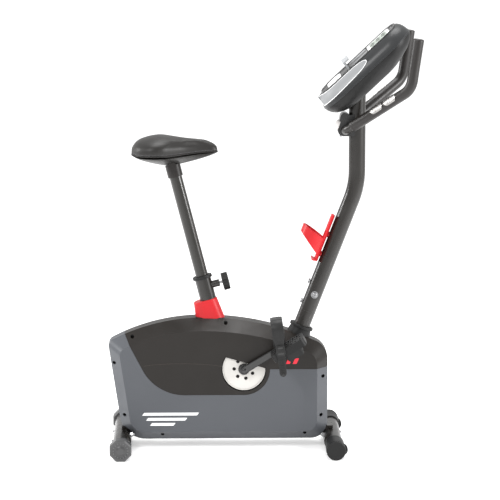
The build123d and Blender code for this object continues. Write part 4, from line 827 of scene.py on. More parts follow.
# ---------------------------------------------------------------- saddle
@dataclass
class Saddle:
    """The padded saddle, its welt, its seam and its shell's rim."""

    # x, half width, underside, widest height, crown
    stations: tuple[tuple[float, float, float, float, float], ...] = (
        (-0.4010, 0.034, 0.9060, 0.917, 0.926),
        (-0.3900, 0.062, 0.9000, 0.920, 0.9415),
        (-0.3740, 0.084, 0.8955, 0.922, 0.9520),
        (-0.3400, 0.101, 0.8940, 0.924, 0.9600),
        (-0.3050, 0.095, 0.8940, 0.925, 0.9605),
        (-0.2700, 0.073, 0.8945, 0.925, 0.9560),
        (-0.2350, 0.050, 0.8985, 0.924, 0.9515),
        (-0.2000, 0.035, 0.9035, 0.924, 0.9485),
        (-0.1700, 0.027, 0.9075, 0.923, 0.9450),
        (-0.1480, 0.021, 0.9110, 0.921, 0.9385),
        (-0.1360, 0.010, 0.9150, 0.919, 0.9280),
    )
    voxel: float = 0.0045
    pressure: float = 4.0
    most_move: float = 0.005
    cloth_frames: int = 20
    held_band: float = 0.012
    held_share: float = 0.2
    floor_z: float = 0.8934
    shell_floor: float = 0.8700
    shell_middle_x: float = -0.2850

    def station(self, share: float) -> tuple[float, ...]:
        """The smoothly blended station at a share of the length.

        Args:
            share: From 0 at the rear to 1 at the nose.

        Returns:
            The station's five sizes.
        """
        rows = self.stations
        at = min(share * (len(rows) - 1), len(rows) - 1.000001)
        low = int(at)
        t = at - low
        picks = [rows[max(low - 1, 0)], rows[low], rows[low + 1], rows[min(low + 2, len(rows) - 1)]]
        return tuple(
            0.5 * (2 * b + (c - a) * t + (2 * a - 5 * b + 4 * c - d) * t**2 + (3 * b - a - 3 * c + d) * t**3)
            for a, b, c, d in zip(*picks)
        )

    def ring(self, share: float, count: int = 48) -> list[Vector]:
        """The saddle's section at a share of its length.

        Args:
            share: From 0 at the rear to 1 at the nose.
            count: How many points.

        Returns:
            The section's points.
        """
        x, half, low, wide_z, top = self.station(share)
        points = []
        for k in range(count):
            turn = math.tau * k / count
            c, s = math.cos(turn), math.sin(turn)
            y = half * math.copysign(abs(c) ** 0.9, c)
            z = wide_z + (top - wide_z) * s**0.85 if s > 0 else wide_z - (wide_z - low) * abs(s) ** 0.7
            points.append(Vector((x, y, z)))
        return points

    def edge_stations(self, steps: int) -> list[tuple[int, tuple[float, ...]]]:
        """The stations passed on a lap: up the right side, back down the left.

        Args:
            steps: Divisions of each side.

        Returns:
            The side, in Y, and the station at each stop.
        """
        shares = [k / steps for k in range(steps + 1)]
        laps = ((-1, shares), (1, shares[::-1]))
        return [(way, self.station(share)) for way, run in laps for share in run]

    def build(self, shop: Workshop) -> None:
        """Builds and pads the saddle.

        Args:
            shop: The workshop.
        """
        cover = shop.materials["saddle_cover"]
        rings = [self.ring(k / 44) for k in range(45)]
        pad = piece("saddle_cushion", closed_mesh("saddle_cushion", rings), cover, 80.0)
        self.pad_out(pad)
        rounder = pad.modifiers.new("round", "SUBSURF")
        rounder.levels = rounder.render_levels = 1
        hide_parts("saddle_pad")
        shop.keep(pad, "seat")
        self.shell(shop)
        self.trim(shop, pad)

    def shell(self, shop: Workshop) -> None:
        """Builds the moulded shell that runs from the cushion's edge down to the post.

        Args:
            shop: The workshop.
        """
        edge = [
            Vector((x, way * half * 0.96, low + (wide_z - low) * 0.3))
            for way, (x, half, low, wide_z, _) in self.edge_stations(40)
        ]
        middle = Vector((self.shell_middle_x, 0, self.shell_floor))
        rings = []
        for share in (0.995, 0.93, 0.84, 0.72, 0.58, 0.42, 0.28, 0.20):
            rings.append([
                Vector((
                    middle.x + (p.x - middle.x) * share, p.y * share,
                    p.z + (middle.z - p.z) * (1 - share) ** 0.72,
                )) for p in edge
            ])
        made = piece("saddle_shell", closed_mesh("saddle_shell", rings), shop.materials["saddle_cover"], 60.0)
        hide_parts("saddle_base")
        shop.keep(made, "seat")

    def pad_out(self, pad: bpy.types.Object) -> None:
        """Swells the cushion as foam under a stretched cover.

        Args:
            pad: The cushion.
        """
        remesh = pad.modifiers.new("voxels", "REMESH")
        remesh.mode = "VOXEL"
        remesh.voxel_size = self.voxel
        self.freeze(pad)
        start = [v.co.copy() for v in pad.data.vertices]
        cloth = pad.modifiers.new("cloth", "CLOTH")
        cloth.settings.use_pressure = True
        cloth.settings.uniform_pressure_force = self.pressure
        cloth.settings.effector_weights.gravity = 0.0
        cloth.settings.quality = 5
        scene = bpy.context.scene
        for number in range(1, self.cloth_frames + 1):
            scene.frame_set(number)
        self.freeze(pad)
        scene.frame_set(1)
        for vertex, before in zip(pad.data.vertices, start):
            move = vertex.co - before
            if move.length > self.most_move:
                move *= self.most_move / move.length
            if before.z < self.floor_z + self.held_band:
                move *= self.held_share
            vertex.co = before + move
            vertex.co.z = max(vertex.co.z, self.floor_z)
        pad.data.shade_smooth()

    @staticmethod
    def freeze(pad: bpy.types.Object) -> None:
        """Turns the modifiers' result into the mesh.

        Args:
            pad: The piece.
        """
        graph = bpy.context.evaluated_depsgraph_get()
        mesh = bpy.data.meshes.new_from_object(pad.evaluated_get(graph))
        pad.modifiers.clear()
        pad.data = mesh

    def trim(self, shop: Workshop, pad: bpy.types.Object) -> None:
        """Lays the piping round the saddle's edge and the stitches above it.

        Args:
            shop: The workshop.
            pad: The finished cushion.
        """
        def snapped(lift: float, out: float) -> list[Vector]:
            """The edge line on the cushion, lifted and moved outward."""
            line = []
            for way, (x, half, low, wide_z, _) in self.edge_stations(60):
                guess = Vector((x, way * half, low + (wide_z - low) * 0.35 + lift))
                found, spot, normal, _ = pad.closest_point_on_mesh(guess)
                line.append((spot if found else guess) + normal * out)
            return line + [line[0].copy()]

        bpy.context.view_layer.update()
        welt = sweep("saddle_piping", snapped(0.0, 0.0004), circle(0.0021, 10), Vector((0, 0, 1)))
        shop.add("saddle_piping", welt, "saddle_cover", "seat", smooth=60.0)
        line = path_object("saddle_stitches", snapped(0.0075, 0.0003), shop.materials["thread"])
        shop.repeater.repeat(
            line, Layout.PATH, Pitch=0.0046, Size=(0.0009, 0.0009, 0.0030), Material=shop.materials["thread"]
        )
        shop.keep(line, "seat")


# ---------------------------------------------------------------- pedals and cranks
@dataclass
class Pedals:
    """Toe straps with their buckles and tails, tread studs and crank caps."""

    reach: float = 0.165
    tilt: float = math.radians(31.4)
    middle_y: float = 0.145
    half: float = 0.046
    strap_top: float = 0.107
    strap_foot: float = -0.006
    strap_width: float = 0.037
    strap_thick: float = 0.0026
    neck: float = 0.025
    forward: float = -0.036
    lean: float = math.radians(8.0)
    bend: float = 0.030
    tread_shift: float = -0.008
    stud_rows: tuple[float, ...] = (-0.030, 0.0, 0.030)
    stud_count: int = 7
    stud_pitch: float = 0.015
    tread_rise: float = 0.0119
    cap_y: float = 0.092
    hub_y: float = 0.0652

    def build(self, shop: Workshop) -> None:
        """Builds both sides.

        Args:
            shop: The workshop.
        """
        for side, way in SIDES.items():
            spot = Vector((
                CRANK_MIDDLE.x - way * self.reach * math.cos(self.tilt), way * self.middle_y,
                CRANK_MIDDLE.z - way * self.reach * math.sin(self.tilt),
            ))
            self.strap(shop, side, way, spot)
            self.studs(shop, side, way, spot)
            self.crank_cap(shop, side, way)

    def strap(self, shop: Workshop, side: str, way: int, spot: Vector) -> None:
        """Builds one pedal's strap, its raised panel, buckle and tail.

        Args:
            shop: The workshop.
            side: The side's name.
            way: Which way is outward, in Y.
            spot: The spindle's place at the pedal's middle.
        """
        across = Vector((math.cos(self.lean), 0, math.sin(self.lean)))
        rise = Vector((-math.sin(self.lean), 0, math.cos(self.lean)))
        out = Vector((0, way, 0))
        rubber, body = shop.materials["strap_rubber"], f"pedal_{side}"
        base = spot + Vector((math.cos(self.tilt), 0, math.sin(self.tilt))) * self.forward
        half = self.half + self.strap_thick / 2
        top = self.strap_top - self.strap_thick / 2
        first, second = (across, rise) if way < 0 else (rise, across)

        def at(y: float, z: float, x: float = 0.0) -> Vector:
            """A place in the strap's own directions."""
            return base + out * y + rise * z + across * x

        def width(point: Vector) -> float:
            """The strap narrows down its outer side, towards the buckle."""
            here = point - base
            if here.dot(out) < half * 0.8:
                return self.strap_width
            share = min(max((here.dot(rise) - 0.024) / 0.038, 0.0), 1.0)
            return self.neck + (self.strap_width - self.neck) * share * share * (3 - 2 * share)

        def patch(name: str, wide: float, tall: float, corner: float, z: float, low: float, high: float,
                  soft: float, finish: str = "strap_rubber", x: float = 0.0) -> None:
            """A rounded plate on the strap's outer side."""
            outline = rounded_box(wide, tall, corner) if way < 0 else rounded_box(tall, wide, corner)
            mesh = slab(name, outline, at(half, z, x), first, second, low, high, soft)
            shop.add(name, mesh, finish, body, "strap_rubber")

        arch = divided(rounded_path(
            [at(-half, self.strap_foot), at(-half, top), at(half, top), at(half, self.strap_foot)],
            [self.bend, self.bend], 12,
        ), 0.005)
        mesh = ribbon("band", arch, across, [width(p) for p in arch], self.strap_thick, 0.0011)
        band = piece(f"strap_band_{side}", mesh, rubber, 50.0)
        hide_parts(f"toe_strap_{side}")
        shop.keep(band, body)
        # a raised panel over the instep, pointed at its lower end
        lift = self.strap_thick / 2 + 0.0003
        crest = divided(rounded_path(
            [at(-half - lift, 0.055), at(-half - lift, top + lift), at(half + lift, top + lift),
             at(half + lift, 0.042)],
            [self.bend + lift, self.bend + lift], 12,
        ), 0.004)
        run = len(crest) - 1
        widths = [0.023 * min(1.0, 0.25 + 0.16 * min(k, run - k)) for k in range(run + 1)]
        mesh = ribbon("panel", crest, across, widths, 0.0012, 0.0005)
        shop.add(f"strap_panel_{side}", mesh, "strap_rubber", body, smooth=50.0)
        # the buckle, with painted shade standing for its two slots
        patch(f"strap_buckle_{side}", 0.029, 0.034, 0.008, 0.016, -0.0006, 0.0062, 0.0024)
        patch(f"strap_slot_shade_{side}_1", 0.016, 0.0058, 0.0026, 0.0245, 0.0061, 0.0065, 0.0, "face_black")
        patch(f"strap_slot_shade_{side}_2", 0.018, 0.0058, 0.0026, 0.0070, 0.0061, 0.0065, 0.0, "face_black")
        # the tail that hangs past it
        tail = divided(
            [at(half + 0.0030, 0.012), at(half + 0.0058, -0.012), at(half + 0.0050, -0.064, -0.002)], 0.003
        )
        last = len(tail) - 1
        widths = [
            0.0215 * math.sqrt(max(0.08, 1 - max(0.0, (k - last + 4) / 4) ** 2)) for k in range(last + 1)
        ]
        mesh = ribbon("tail", tail, across, widths, 0.0024, 0.0009)
        shop.add(f"strap_tail_{side}", mesh, "strap_rubber", body, smooth=50.0)
        tooth = rounded_box(0.013, 0.0026, 0.0010) if way < 0 else rounded_box(0.0026, 0.013, 0.0010)
        seed = slab("tooth", tooth, Vector((0, 0, 0)), first, second, 0.0, 0.0018, 0.0005)
        teeth = piece(f"strap_teeth_{side}", seed, rubber)
        shop.repeater.repeat(
            teeth, Layout.LINE, Count=6, Start=at(half + 0.0062, -0.014, -0.0002),
            Step=rise * -0.0078 + across * -0.0002, Material=rubber,
        )
        shop.keep(teeth, body)
        # a black patch near the tail's end: painted shade standing for the strap's eye
        patch(f"strap_eye_shade_{side}", 0.008, 0.0035, 0.0016, -0.0585, 0.0058, 0.0066, 0.0, "face_black", -0.0018)

    def studs(self, shop: Workshop, side: str, way: int, spot: Vector) -> None:
        """Sets rows of studs on the tread.

        Args:
            shop: The workshop.
            side: The side's name.
            way: Which way is outward, in Y.
            spot: The spindle's place at the pedal's middle.
        """
        ahead = Vector((math.cos(self.tilt), 0, math.sin(self.tilt)))
        up = Vector((-math.sin(self.tilt), 0, math.cos(self.tilt)))
        plastic = shop.materials["pedal_plastic"]
        for row, y in enumerate(self.stud_rows):
            stud = lathe("stud", [(0.0032, 0.0), (0.0030, 0.0014), (0.0014, 0.0024)], Vector((0, 0, 0)), up)
            studs = piece(f"tread_studs_{side}_{row + 1}", stud, plastic)
            start = spot + ahead * (self.tread_shift - 0.045) + up * self.tread_rise + Vector((0, way * y, 0))
            shop.repeater.repeat(
                studs, Layout.LINE, Count=self.stud_count, Start=start, Step=ahead * self.stud_pitch,
                Material=plastic,
            )
            shop.keep(studs, f"pedal_{side}")

    def crank_cap(self, shop: Workshop, side: str, way: int) -> None:
        """Covers the crank bolt and rings its hub.

        Args:
            shop: The workshop.
            side: The side's name.
            way: Which way is outward, in Y.
        """
        out = Vector((0, way, 0))
        face = Vector((CRANK_MIDDLE.x, way * self.cap_y, CRANK_MIDDLE.z))
        dome = [(0.0078, -0.002), (0.0078, 0.0012), (0.0070, 0.0022), (0.0050, 0.0030), (0.0005, 0.0034)]
        shop.add(f"crank_cap_{side}", lathe("cap", dome, face, out), "crank_steel", "crank")
        hub = Vector((CRANK_MIDDLE.x, way * self.hub_y, CRANK_MIDDLE.z))
        rim = [(0.0152, 0.0), (0.0170, 0.0), (0.0170, 0.0070), (0.0162, 0.0078), (0.0152, 0.0078)]
        mesh = lathe("hub", rim + [rim[0]], hub, out)
        shop.add(f"hub_shadow_{side}", mesh, "black_plastic", "crank")


# ---------------------------------------------------------------- casing
@dataclass
class Casing:
    """Printed stripes and a painted highlight line along the crease on the casing's flat sides."""

    patch_lift: float = 0.00035
    crease_highlight: tuple[tuple[float, float], ...] = (
        (-0.366, 0.2630), (-0.340, 0.2660), (-0.314, 0.2680), (-0.271, 0.2700), (-0.231, 0.2697),
        (-0.191, 0.2680), (-0.152, 0.2650), (-0.128, 0.2607),
    )

    def slanted(self, x: float, z: float, length: float, height: float, slant: float) -> list[
        tuple[float, float]
    ]:
        """A slanted bar's corners.

        Args:
            x: Its left end.
            z: Its lower edge.
            length: Its length.
            height: Its height.
            slant: How far its top leans forward.

        Returns:
            The corners, as (x, z).
        """
        return [(x, z), (x + length, z), (x + length + slant, z + height), (x + slant, z + height)]

    def patch(
        self, shop: Workshop, name: str, outline: list[tuple[float, float]], way: int, finish: str, slot: str
    ) -> None:
        """A thin patch on one flat side, used for print and for a painted highlight line.

        Args:
            shop: The workshop.
            name: The piece's name.
            outline: Its corners, as (x, z).
            way: Which side, in Y.
            finish: The material.
            slot: The record's slot, passed on to the workshop, which doesn't use it.
        """
        points = outline if way < 0 else outline[::-1]
        low, high = CASING_HALF + 0.0001, CASING_HALF + self.patch_lift
        rings = [[Vector((x, way * y, z)) for x, z in points] for y in (low, high)]
        shop.add(name, closed_mesh(name, rings), finish, "frame", slot)

    def build(self, shop: Workshop) -> None:
        """Builds the stripes on both sides.

        Args:
            shop: The workshop.
        """
        for side, way in SIDES.items():
            for row, (start, length) in enumerate(((-0.372, 0.168), (-0.360, 0.120), (-0.348, 0.072))):
                outline = self.slanted(start, 0.108 - row * 0.016, length, 0.0085, 0.0065)
                self.patch(shop, f"side_stripe_{side}_{row + 1}", outline, way, "white_print", "shell_grey")
            for row in range(3):
                outline = self.slanted(0.048 + row * 0.021, 0.268, 0.012, 0.017, 0.007)
                self.patch(shop, f"panel_flash_{side}_{row + 1}", outline, way, "red_print", "shell_black")
            # the lighter line along the crease is a painted highlight
            upper = [(x, z + 0.0007) for x, z in self.crease_highlight]
            lower = [(x, z - 0.0007) for x, z in reversed(self.crease_highlight)]
            self.patch(shop, f"panel_crease_highlight_{side}", lower[::-1] + upper[::-1], way, "crease_highlight", "shell_black")


# ---------------------------------------------------------------- handlebar
@dataclass
class Handlebar:
    """Foam grips with rounded ends, and the clamp's two-lobed cap, whose pale lobes are a painted highlight.
    """

    foot: Vector = field(default_factory=lambda: Vector((0.249, 0.042, 0.981)))
    corner: Vector = field(default_factory=lambda: Vector((0.437, 0.165, 1.120)))
    tip: Vector = field(default_factory=lambda: Vector((0.458, 0.165, 1.266)))
    bend: float = 0.055
    radius: float = 0.0165
    bare: float = 0.12
    lobe_y: float = 0.0165

    def build(self, shop: Workshop) -> None:
        """Builds both grips and the cap.

        Args:
            shop: The workshop.
        """
        for side, way in SIDES.items():
            self.grip(shop, side, way)
        self.cap(shop)

    def grip(self, shop: Workshop, side: str, way: int) -> None:
        """Builds one grip and the sleeves that hold its contact plates.

        Args:
            shop: The workshop.
            side: The side's name.
            way: Which way is outward, in Y.
        """
        foot, corner, tip = (Vector((p.x, way * p.y, p.z)) for p in (self.foot, self.corner, self.tip))
        path = divided(rounded_path([foot.lerp(corner, self.bare), corner, tip], [self.bend], 14), 0.006)
        frames = frames_along(path, Vector((0, 0, 1)))
        rings = [[m + a * c + b * s for c, s in circle(self.radius, 36)] for m, a, b in frames]

        def cap_rings(frame_at: tuple, away: Vector, shape: tuple) -> list[list[Vector]]:
            """Rings that close one end."""
            middle, across, up = frame_at
            return [
                [middle + away * lift + across * c + up * s for c, s in circle(self.radius * shrink, 36)]
                for shrink, lift in shape
            ]

        dome = ((0.985, 0.0022), (0.93, 0.0036), (0.80, 0.0046), (0.55, 0.0050), (0.05, 0.0051))
        rings += cap_rings(frames[-1], (path[-1] - path[-2]).normalized(), dome)
        taper = ((0.80, 0.0052), (0.90, 0.0036), (0.97, 0.0016))
        rings = cap_rings(frames[0], (path[0] - path[1]).normalized(), taper) + rings
        grip = piece(f"foam_grip_{side}", closed_mesh("grip", rings), shop.materials["foam"], 50.0)
        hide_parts(f"grip_{side}")
        shop.keep(grip, "handlebar")

    def cap(self, shop: Workshop) -> None:
        """Covers the clamp's rear with two pale lobes, a painted highlight on the cap, and a small screw.

        Args:
            shop: The workshop.
        """
        back = Vector((-0.94, 0, 0.34))
        lobe = [
            (0.0150, 0.0), (0.0147, 0.0036), (0.0128, 0.0066), (0.0090, 0.0088), (0.0045, 0.0098),
            (0.0004, 0.0100),
        ]
        # the pale domes are a painted highlight on the clamp cap's curves
        for number, y in enumerate((-self.lobe_y, self.lobe_y), start=1):
            mesh = lathe("lobe", lobe, Vector((0.2305, y, 0.9950)), back)
            shop.add(f"clamp_highlight_lobe_{number}", mesh, "painted_highlight_lobe", "frame", "clamp_cover")
        down = Vector((-0.5, 0, -0.87))
        head = [(0.0044, -0.003), (0.0044, 0.0020), (0.0036, 0.0030), (0.0020, 0.0032), (0.0018, 0.0012)]
        mesh = lathe("screw", head, Vector((0.2360, -0.016, 0.9650)), down)
        shop.add("clamp_screw_head", mesh, "zinc_steel", "frame")


# ---------------------------------------------------------------- console
@dataclass
class Console:
    """The console's rounded shells, side panels, face, display and marks."""

    origin: Vector = field(default_factory=lambda: Vector((0.204, 0.0, 1.118)))
    tilt: float = math.radians(43.2)
    # height off the face, middle, length, width, corner radius
    sections: tuple[tuple[float, float, float, float, float], ...] = (
        (0.0, 0.1170, 0.302, 0.132, 0.052),
        (-0.0045, 0.1162, 0.316, 0.148, 0.060),
        (-0.0110, 0.1152, 0.328, 0.164, 0.067),
        (-0.0200, 0.1143, 0.338, 0.178, 0.073),
        (-0.0300, 0.1137, 0.344, 0.186, 0.076),
        (-0.0405, 0.1135, 0.347, 0.190, 0.078),
        (-0.0500, 0.1125, 0.342, 0.186, 0.076),
        (-0.0620, 0.1095, 0.325, 0.174, 0.071),
        (-0.0740, 0.1040, 0.292, 0.156, 0.063),
        (-0.0840, 0.0975, 0.246, 0.134, 0.054),
        (-0.0900, 0.0940, 0.204, 0.118, 0.048),
    )
    face_middle: float = 0.117
    screen_middle: float = 0.199
    side: Vector = field(default_factory=lambda: Vector((0, 1, 0)))
    along: Vector = field(init=False)
    out: Vector = field(init=False)

    def __post_init__(self) -> None:
        """Works out the console's directions."""
        self.along = Vector((math.cos(self.tilt), 0, math.sin(self.tilt)))
        self.out = Vector((-math.sin(self.tilt), 0, math.cos(self.tilt)))

    def at(self, u: float, y: float, v: float) -> Vector:
        """A place in the console's own directions.

        Args:
            u: Along the face, upward.
            y: Across it.
            v: Off it.

        Returns:
            The place.
        """
        return self.origin + self.along * u + self.side * y + self.out * v

    def section(self, v: float) -> tuple[float, float, float, float]:
        """The shell's section at a height off the face.

        Args:
            v: The height.

        Returns:
            Its middle, length, width and corner radius.
        """
        rows = self.sections
        for high, low in zip(rows, rows[1:]):
            if high[0] >= v >= low[0]:
                t = (v - high[0]) / (low[0] - high[0])
                return tuple(a + (b - a) * t for a, b in zip(high[1:], low[1:]))
        return rows[-1][1:]

    def flank(self, u: float, v: float, way: int, lift: float) -> Vector:
        """A place on the shell's flank.

        Args:
            u: Along the face.
            v: Off it.
            way: Which side, in Y.
            lift: How far out of the surface.

        Returns:
            The place.
        """
        middle, length, width, corner = self.section(v)
        past = abs(u - middle) - (length / 2 - corner)
        y = width / 2
        if past > 0:
            y -= corner - math.sqrt(max(corner**2 - past**2, 0.0))
        slope = (self.section(v - 0.002)[2] - self.section(v + 0.002)[2]) / 2 / 0.004
        slope_u = 0.0 if past <= 0 else min(past / max(math.sqrt(max(corner**2 - past**2, 1e-6)), 0.01), 2.5)
        turn = -1.0 if u < middle else 1.0
        normal = Vector((turn * slope_u, way, slope)).normalized()
        spot = self.at(u, way * y, v)
        return spot + (self.along * normal.x + self.side * normal.y + self.out * normal.z) * lift

    def shell(self, shop: Workshop, name: str, node: str, rows: tuple, finish: str) -> None:
        """One of the two shells.

        Args:
            shop: The workshop.
            name: The piece's name.
            node: The CAD node it stands for.
            rows: Its sections.
            finish: Its material.
        """
        rings = []
        for v, middle, length, width, corner in rows:
            rings.append([self.at(middle + a, b, v) for a, b in rounded_box(length, width, corner, 10)])
        made = piece(name, closed_mesh(name, rings), shop.materials[finish], 40.0)
        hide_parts(node)
        shop.keep(made, "frame")

    def build(self, shop: Workshop) -> None:
        """Builds the console's looks.

        Args:
            shop: The workshop.
        """
        self.shell(shop, "console_face_shell", "console_front", self.sections[:6], "console_plastic")
        back = ((-0.0409, *self.sections[5][1:]), *self.sections[6:])
        self.shell(shop, "console_rear_shell", "console_back", back, "black_plastic")
        ridge = [
            [self.at(m + a, b, v) for a, b in rounded_box(length + grow, width + grow, corner + grow / 2, 10)]
            for (m, length, width, corner), v, grow in (
                (self.section(-0.0385), -0.0385, -0.0006), (self.section(-0.0392), -0.0392, 0.0022),
                (self.section(-0.0425), -0.0425, 0.0022), (self.section(-0.0432), -0.0432, -0.0006),
            )
        ]
        mesh = closed_mesh("console_ridge", ridge)
        shop.add("console_ridge", mesh, "console_plastic", "frame")
        for side, way in SIDES.items():
            self.side_panel(shop, side, way)
        self.face(shop)

    def side_panel(self, shop: Workshop, side: str, way: int) -> None:
        """A pale leaf-shaped panel on one flank, with a white edge.

        Args:
            shop: The workshop.
            side: The side's name.
            way: Which side, in Y.
        """
        first, last, count, rows = -0.0535, 0.132, 40, 6

        def limits(share: float) -> tuple[float, float]:
            """The panel's lower and upper edges."""
            round_off = math.sqrt(max(1 - max((share - 0.6) / 0.4, 0.0) ** 3, 0.0))
            low, high = -0.0300 + 0.0080 * share, -0.0030
            middle = (low + high) / 2
            return middle + (low - middle) * round_off, middle + (high - middle) * round_off

        def layer(lift: float) -> list[list[Vector]]:
            """A grid of places at a lift."""
            grid = []
            for k in range(count + 1):
                share = 0.004 + 0.992 * k / count
                low, high = limits(share)
                u = first + (last - first) * share
                grid.append(
                    [self.flank(u, low + (high - low) * j / rows, way, lift) for j in range(rows + 1)]
                )
            return grid

        upper, under = layer(0.0016), layer(-0.0004)
        rings = [row + below[::-1] for row, below in zip(upper, under)]
        panel = piece(
            f"side_panel_{side}", closed_mesh("side_panel", rings), shop.materials["side_grey"], 50.0
        )
        if side == "right":
            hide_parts("console_trims")
        shop.keep(panel, "frame")
        edge = [row[0] for row in upper] + [row[-1] for row in reversed(upper)]
        line = sweep("side_edge", edge + [edge[0]], circle(0.0010, 8), Vector((0, 0, 1)))
        shop.add(f"side_edge_{side}", line, "white_print", "frame", "pale_plastic", 70.0)

    def face(self, shop: Workshop) -> None:
        """Lays the face plate, display, button strip and marks.

        Args:
            shop: The workshop.
        """
        def lay(name: str, finish: str, slot: str, wide: float, long: float, u: float, y: float, low: float,
                high: float, corner: float, soften: float = 0.0) -> bpy.types.Object:
            """A rounded plate on the face, centred at u and y."""
            mesh = slab(
                name, rounded_box(long, wide, corner, 8), self.at(u, y, 0), self.along, self.side, low, high,
                soften,
            )
            return shop.add(name, mesh, finish, "frame", slot)

        lay(
            "face_rim", "face_black", "console_plastic",
            0.130, 0.300, self.face_middle, 0, -0.0010, 0.0008, 0.051, 0.0010,
        )
        line = [self.at(self.face_middle + a, b, 0.0006) for a, b in rounded_box(0.298, 0.128, 0.050, 10)]
        rim = sweep("face_edge", line + [line[0]], circle(0.0026, 10), self.out)
        shop.add("face_edge", rim, "face_black", "frame", "console_plastic", 60.0)
        lay(
            "face_button_strip", "white_print", "pale_plastic",
            0.112, 0.052, 0.018, 0, 0.0004, 0.0011, 0.024, 0.0003,
        )
        for name, y in (("right", -0.040), ("left", 0.040)):
            lay(
                f"face_band_{name}", "side_grey", "pale_plastic",
                0.036, 0.068, self.face_middle, y, 0.0004, 0.0011, 0.008, 0.0003,
            )
        lay(
            "face_screen_frame", "white_print", "pale_plastic",
            0.114, 0.086, self.screen_middle, 0, 0.0004, 0.0012, 0.016, 0.0004,
        )
        glass = lay(
            "display_glass", "display", "screen",
            0.088, 0.066, self.screen_middle, 0, 0.0010, 0.0016, 0.005, 0.0002,
        )
        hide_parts("screen_window")
        for row in range(3):
            for column in range(4):
                height = 0.009 + 0.005 * ((row * 3 + column * 2) % 3)
                lay(f"display_bar_{row + 1}_{column + 1}", "display_ink", "screen", 0.010, height,
                    0.177 + row * 0.022, -0.030 + column * 0.020, 0.0015, 0.0018, 0.0012)
        for number, y in enumerate((-0.030, 0.0, 0.030), start=1):
            mark = slab(f"button_mark_{number}", rounded_box(0.0024, 0.009, 0.001), self.at(0.028, y, 0),
                        self.along, self.side, 0.0011, 0.00135)
            shop.add(
                f"button_mark_{number}", mark, "display_ink", f"console_button_{number}", "button_plastic"
            )
        hole = lathe("hole", [(0.0016, -0.0006), (0.0016, 0.0002)], Vector((0, 0, 0)), self.out)
        dots = piece("sounder_dots", hole, shop.materials["side_grey"])
        start = self.at(0.252, -0.024, 0.0008)
        shop.repeater.repeat(
            dots, Layout.LINE, Count=9, Start=start, Step=self.side * 0.006,
            Material=shop.materials["side_grey"]
        )
        shop.keep(dots, "frame")


# ---------------------------------------------------------------- feet
@dataclass
class Feet:
    """Ribs round the front caps and the turned marks on the rear ones."""

    front: Vector = field(default_factory=lambda: Vector((0.2165, 0.0, 0.029)))
    rear: Vector = field(default_factory=lambda: Vector((-0.4355, 0.0, 0.033)))
    rib_y: float = 0.207
    rib_count: int = 28
    mark_y: float = 0.2219
    mark_count: int = 16

    def build(self, shop: Workshop) -> None:
        """Builds the details on all four caps.

        Args:
            shop: The workshop.
        """
        black = shop.materials["black_plastic"]
        for side, way in SIDES.items():
            tooth = slab(
                "tooth", rounded_box(0.0030, 0.020, 0.0010), Vector((0.0, 0.0, 0.0)), Vector((1, 0, 0)),
                Vector((0, 1, 0)), 0.0270, 0.0298, 0.0006,
            )
            teeth = piece(f"cap_ribs_{side}", tooth, black)
            middle = Vector((self.front.x, way * self.rib_y, self.front.z))
            shop.repeater.repeat(teeth, Layout.RING, Count=self.rib_count, Middle=middle, Material=black)
            self.trim_floor(teeth)
            shop.keep(teeth, "frame")
            mark = slab("mark", rounded_box(0.0022, 0.0008, 0.0003), Vector((0, 0, 0)), Vector((1, 0, 0)),
                        Vector((0, 1, 0)), 0.0212, 0.0228)
            marks = piece(f"leveller_marks_{side}", mark, shop.materials["pale_plastic"])
            middle = Vector((self.rear.x, way * self.mark_y, self.rear.z))
            shop.repeater.repeat(
                marks, Layout.RING, Count=self.mark_count, Middle=middle,
                Material=shop.materials["pale_plastic"],
            )
            shop.keep(marks, f"rear_leveller_{side}")

    @staticmethod
    def trim_floor(made: bpy.types.Object) -> None:
        """Keeps a piece from reaching below the floor.

        Args:
            made: The piece.
        """
        for vertex in made.data.vertices:
            vertex.co.z = max(vertex.co.z, 0.0)


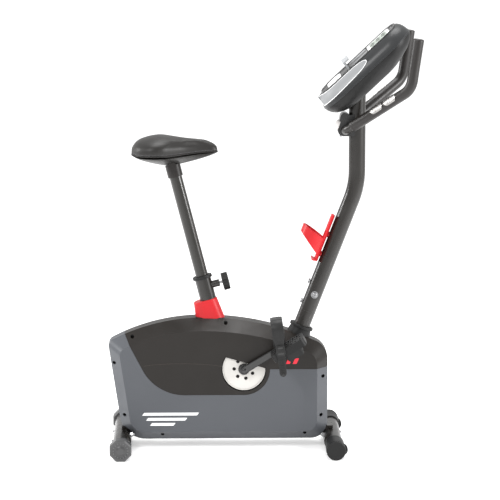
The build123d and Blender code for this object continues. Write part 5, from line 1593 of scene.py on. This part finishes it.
# ---------------------------------------------------------------- studio
@dataclass
class Studio:
    """A pale floor, soft lights and the camera."""

    place: tuple[float, float, float] = (-0.2274, -8.1411, 1.9656)
    lens: float = 193.8
    down: float = 9.452
    toward: float = 1.324
    floor_glow: float = 0.35
    world_strength: float = 0.85

    def build(self) -> None:
        """Builds the studio."""
        scene = bpy.context.scene
        scene.view_settings.view_transform = "Standard"
        floor_mesh = bpy.data.meshes.new("floor")
        floor_mesh.from_pydata([(-60, -30, 0), (60, -30, 0), (60, 90, 0), (-60, 90, 0)], [], [(0, 1, 2, 3)])
        pale = bpy.data.materials.new("floor")
        pale.use_nodes = True
        shader = pale.node_tree.nodes["Principled BSDF"]
        for name, value in (
            ("Base Color", (0.94, 0.94, 0.94, 1)), ("Roughness", 0.35),
            ("Emission Color", (1.0, 1.0, 1.0, 1)), ("Emission Strength", self.floor_glow),
        ):
            shader.inputs[name].default_value = value
        floor = piece("floor", floor_mesh, pale)
        floor.location.z = -0.0005
        world = bpy.data.worlds.new("studio")
        world.use_nodes = True
        background = world.node_tree.nodes["Background"]
        background.inputs["Color"].default_value = (1.0, 1.0, 1.0, 1)
        background.inputs["Strength"].default_value = self.world_strength
        scene.world = world
        for name, spot, aim, wide, power in (
            ("key", (-2.4, -3.4, 3.4), (0, 0, 0.6), 1.4, 150.0),
            ("side", (3.2, -1.2, 1.6), (0, 0, 0.7), 0.9, 110.0),
            ("rear", (-3.2, 0.6, 1.8), (0, 0, 0.7), 1.0, 80.0),
            ("top", (0.2, 0.8, 4.2), (0, 0, 0.5), 2.2, 120.0),
        ):
            lamp = bpy.data.lights.new(name, "AREA")
            lamp.energy, lamp.size = power, wide
            holder = bpy.data.objects.new(name, lamp)
            holder.location = spot
            holder.rotation_euler = (Vector(aim) - Vector(spot)).to_track_quat("-Z", "Y").to_euler()
            scene.collection.objects.link(holder)
        camera = bpy.data.cameras.new("camera")
        camera.lens, camera.sensor_width, camera.clip_end = self.lens, 36.0, 200.0
        holder = bpy.data.objects.new("camera", camera)
        holder.location = self.place
        holder.rotation_euler = (math.radians(90 - self.down), 0.0, math.radians(-self.toward))
        scene.collection.objects.link(holder)
        scene.camera = holder


def main() -> None:
    """Builds every sub-assembly in order."""
    logging.basicConfig(level=logging.INFO, format="%(message)s")
    shop = Workshop()
    shop.open()
    shop.dress_frame()
    for assembly in (Saddle(), Pedals(), Casing(), Handlebar(), Console(), Feet()):
        assembly.build(shop)
        LOG.info("%s built", type(assembly).__name__)
    Studio().build()


if __name__ == "__main__":
    main()
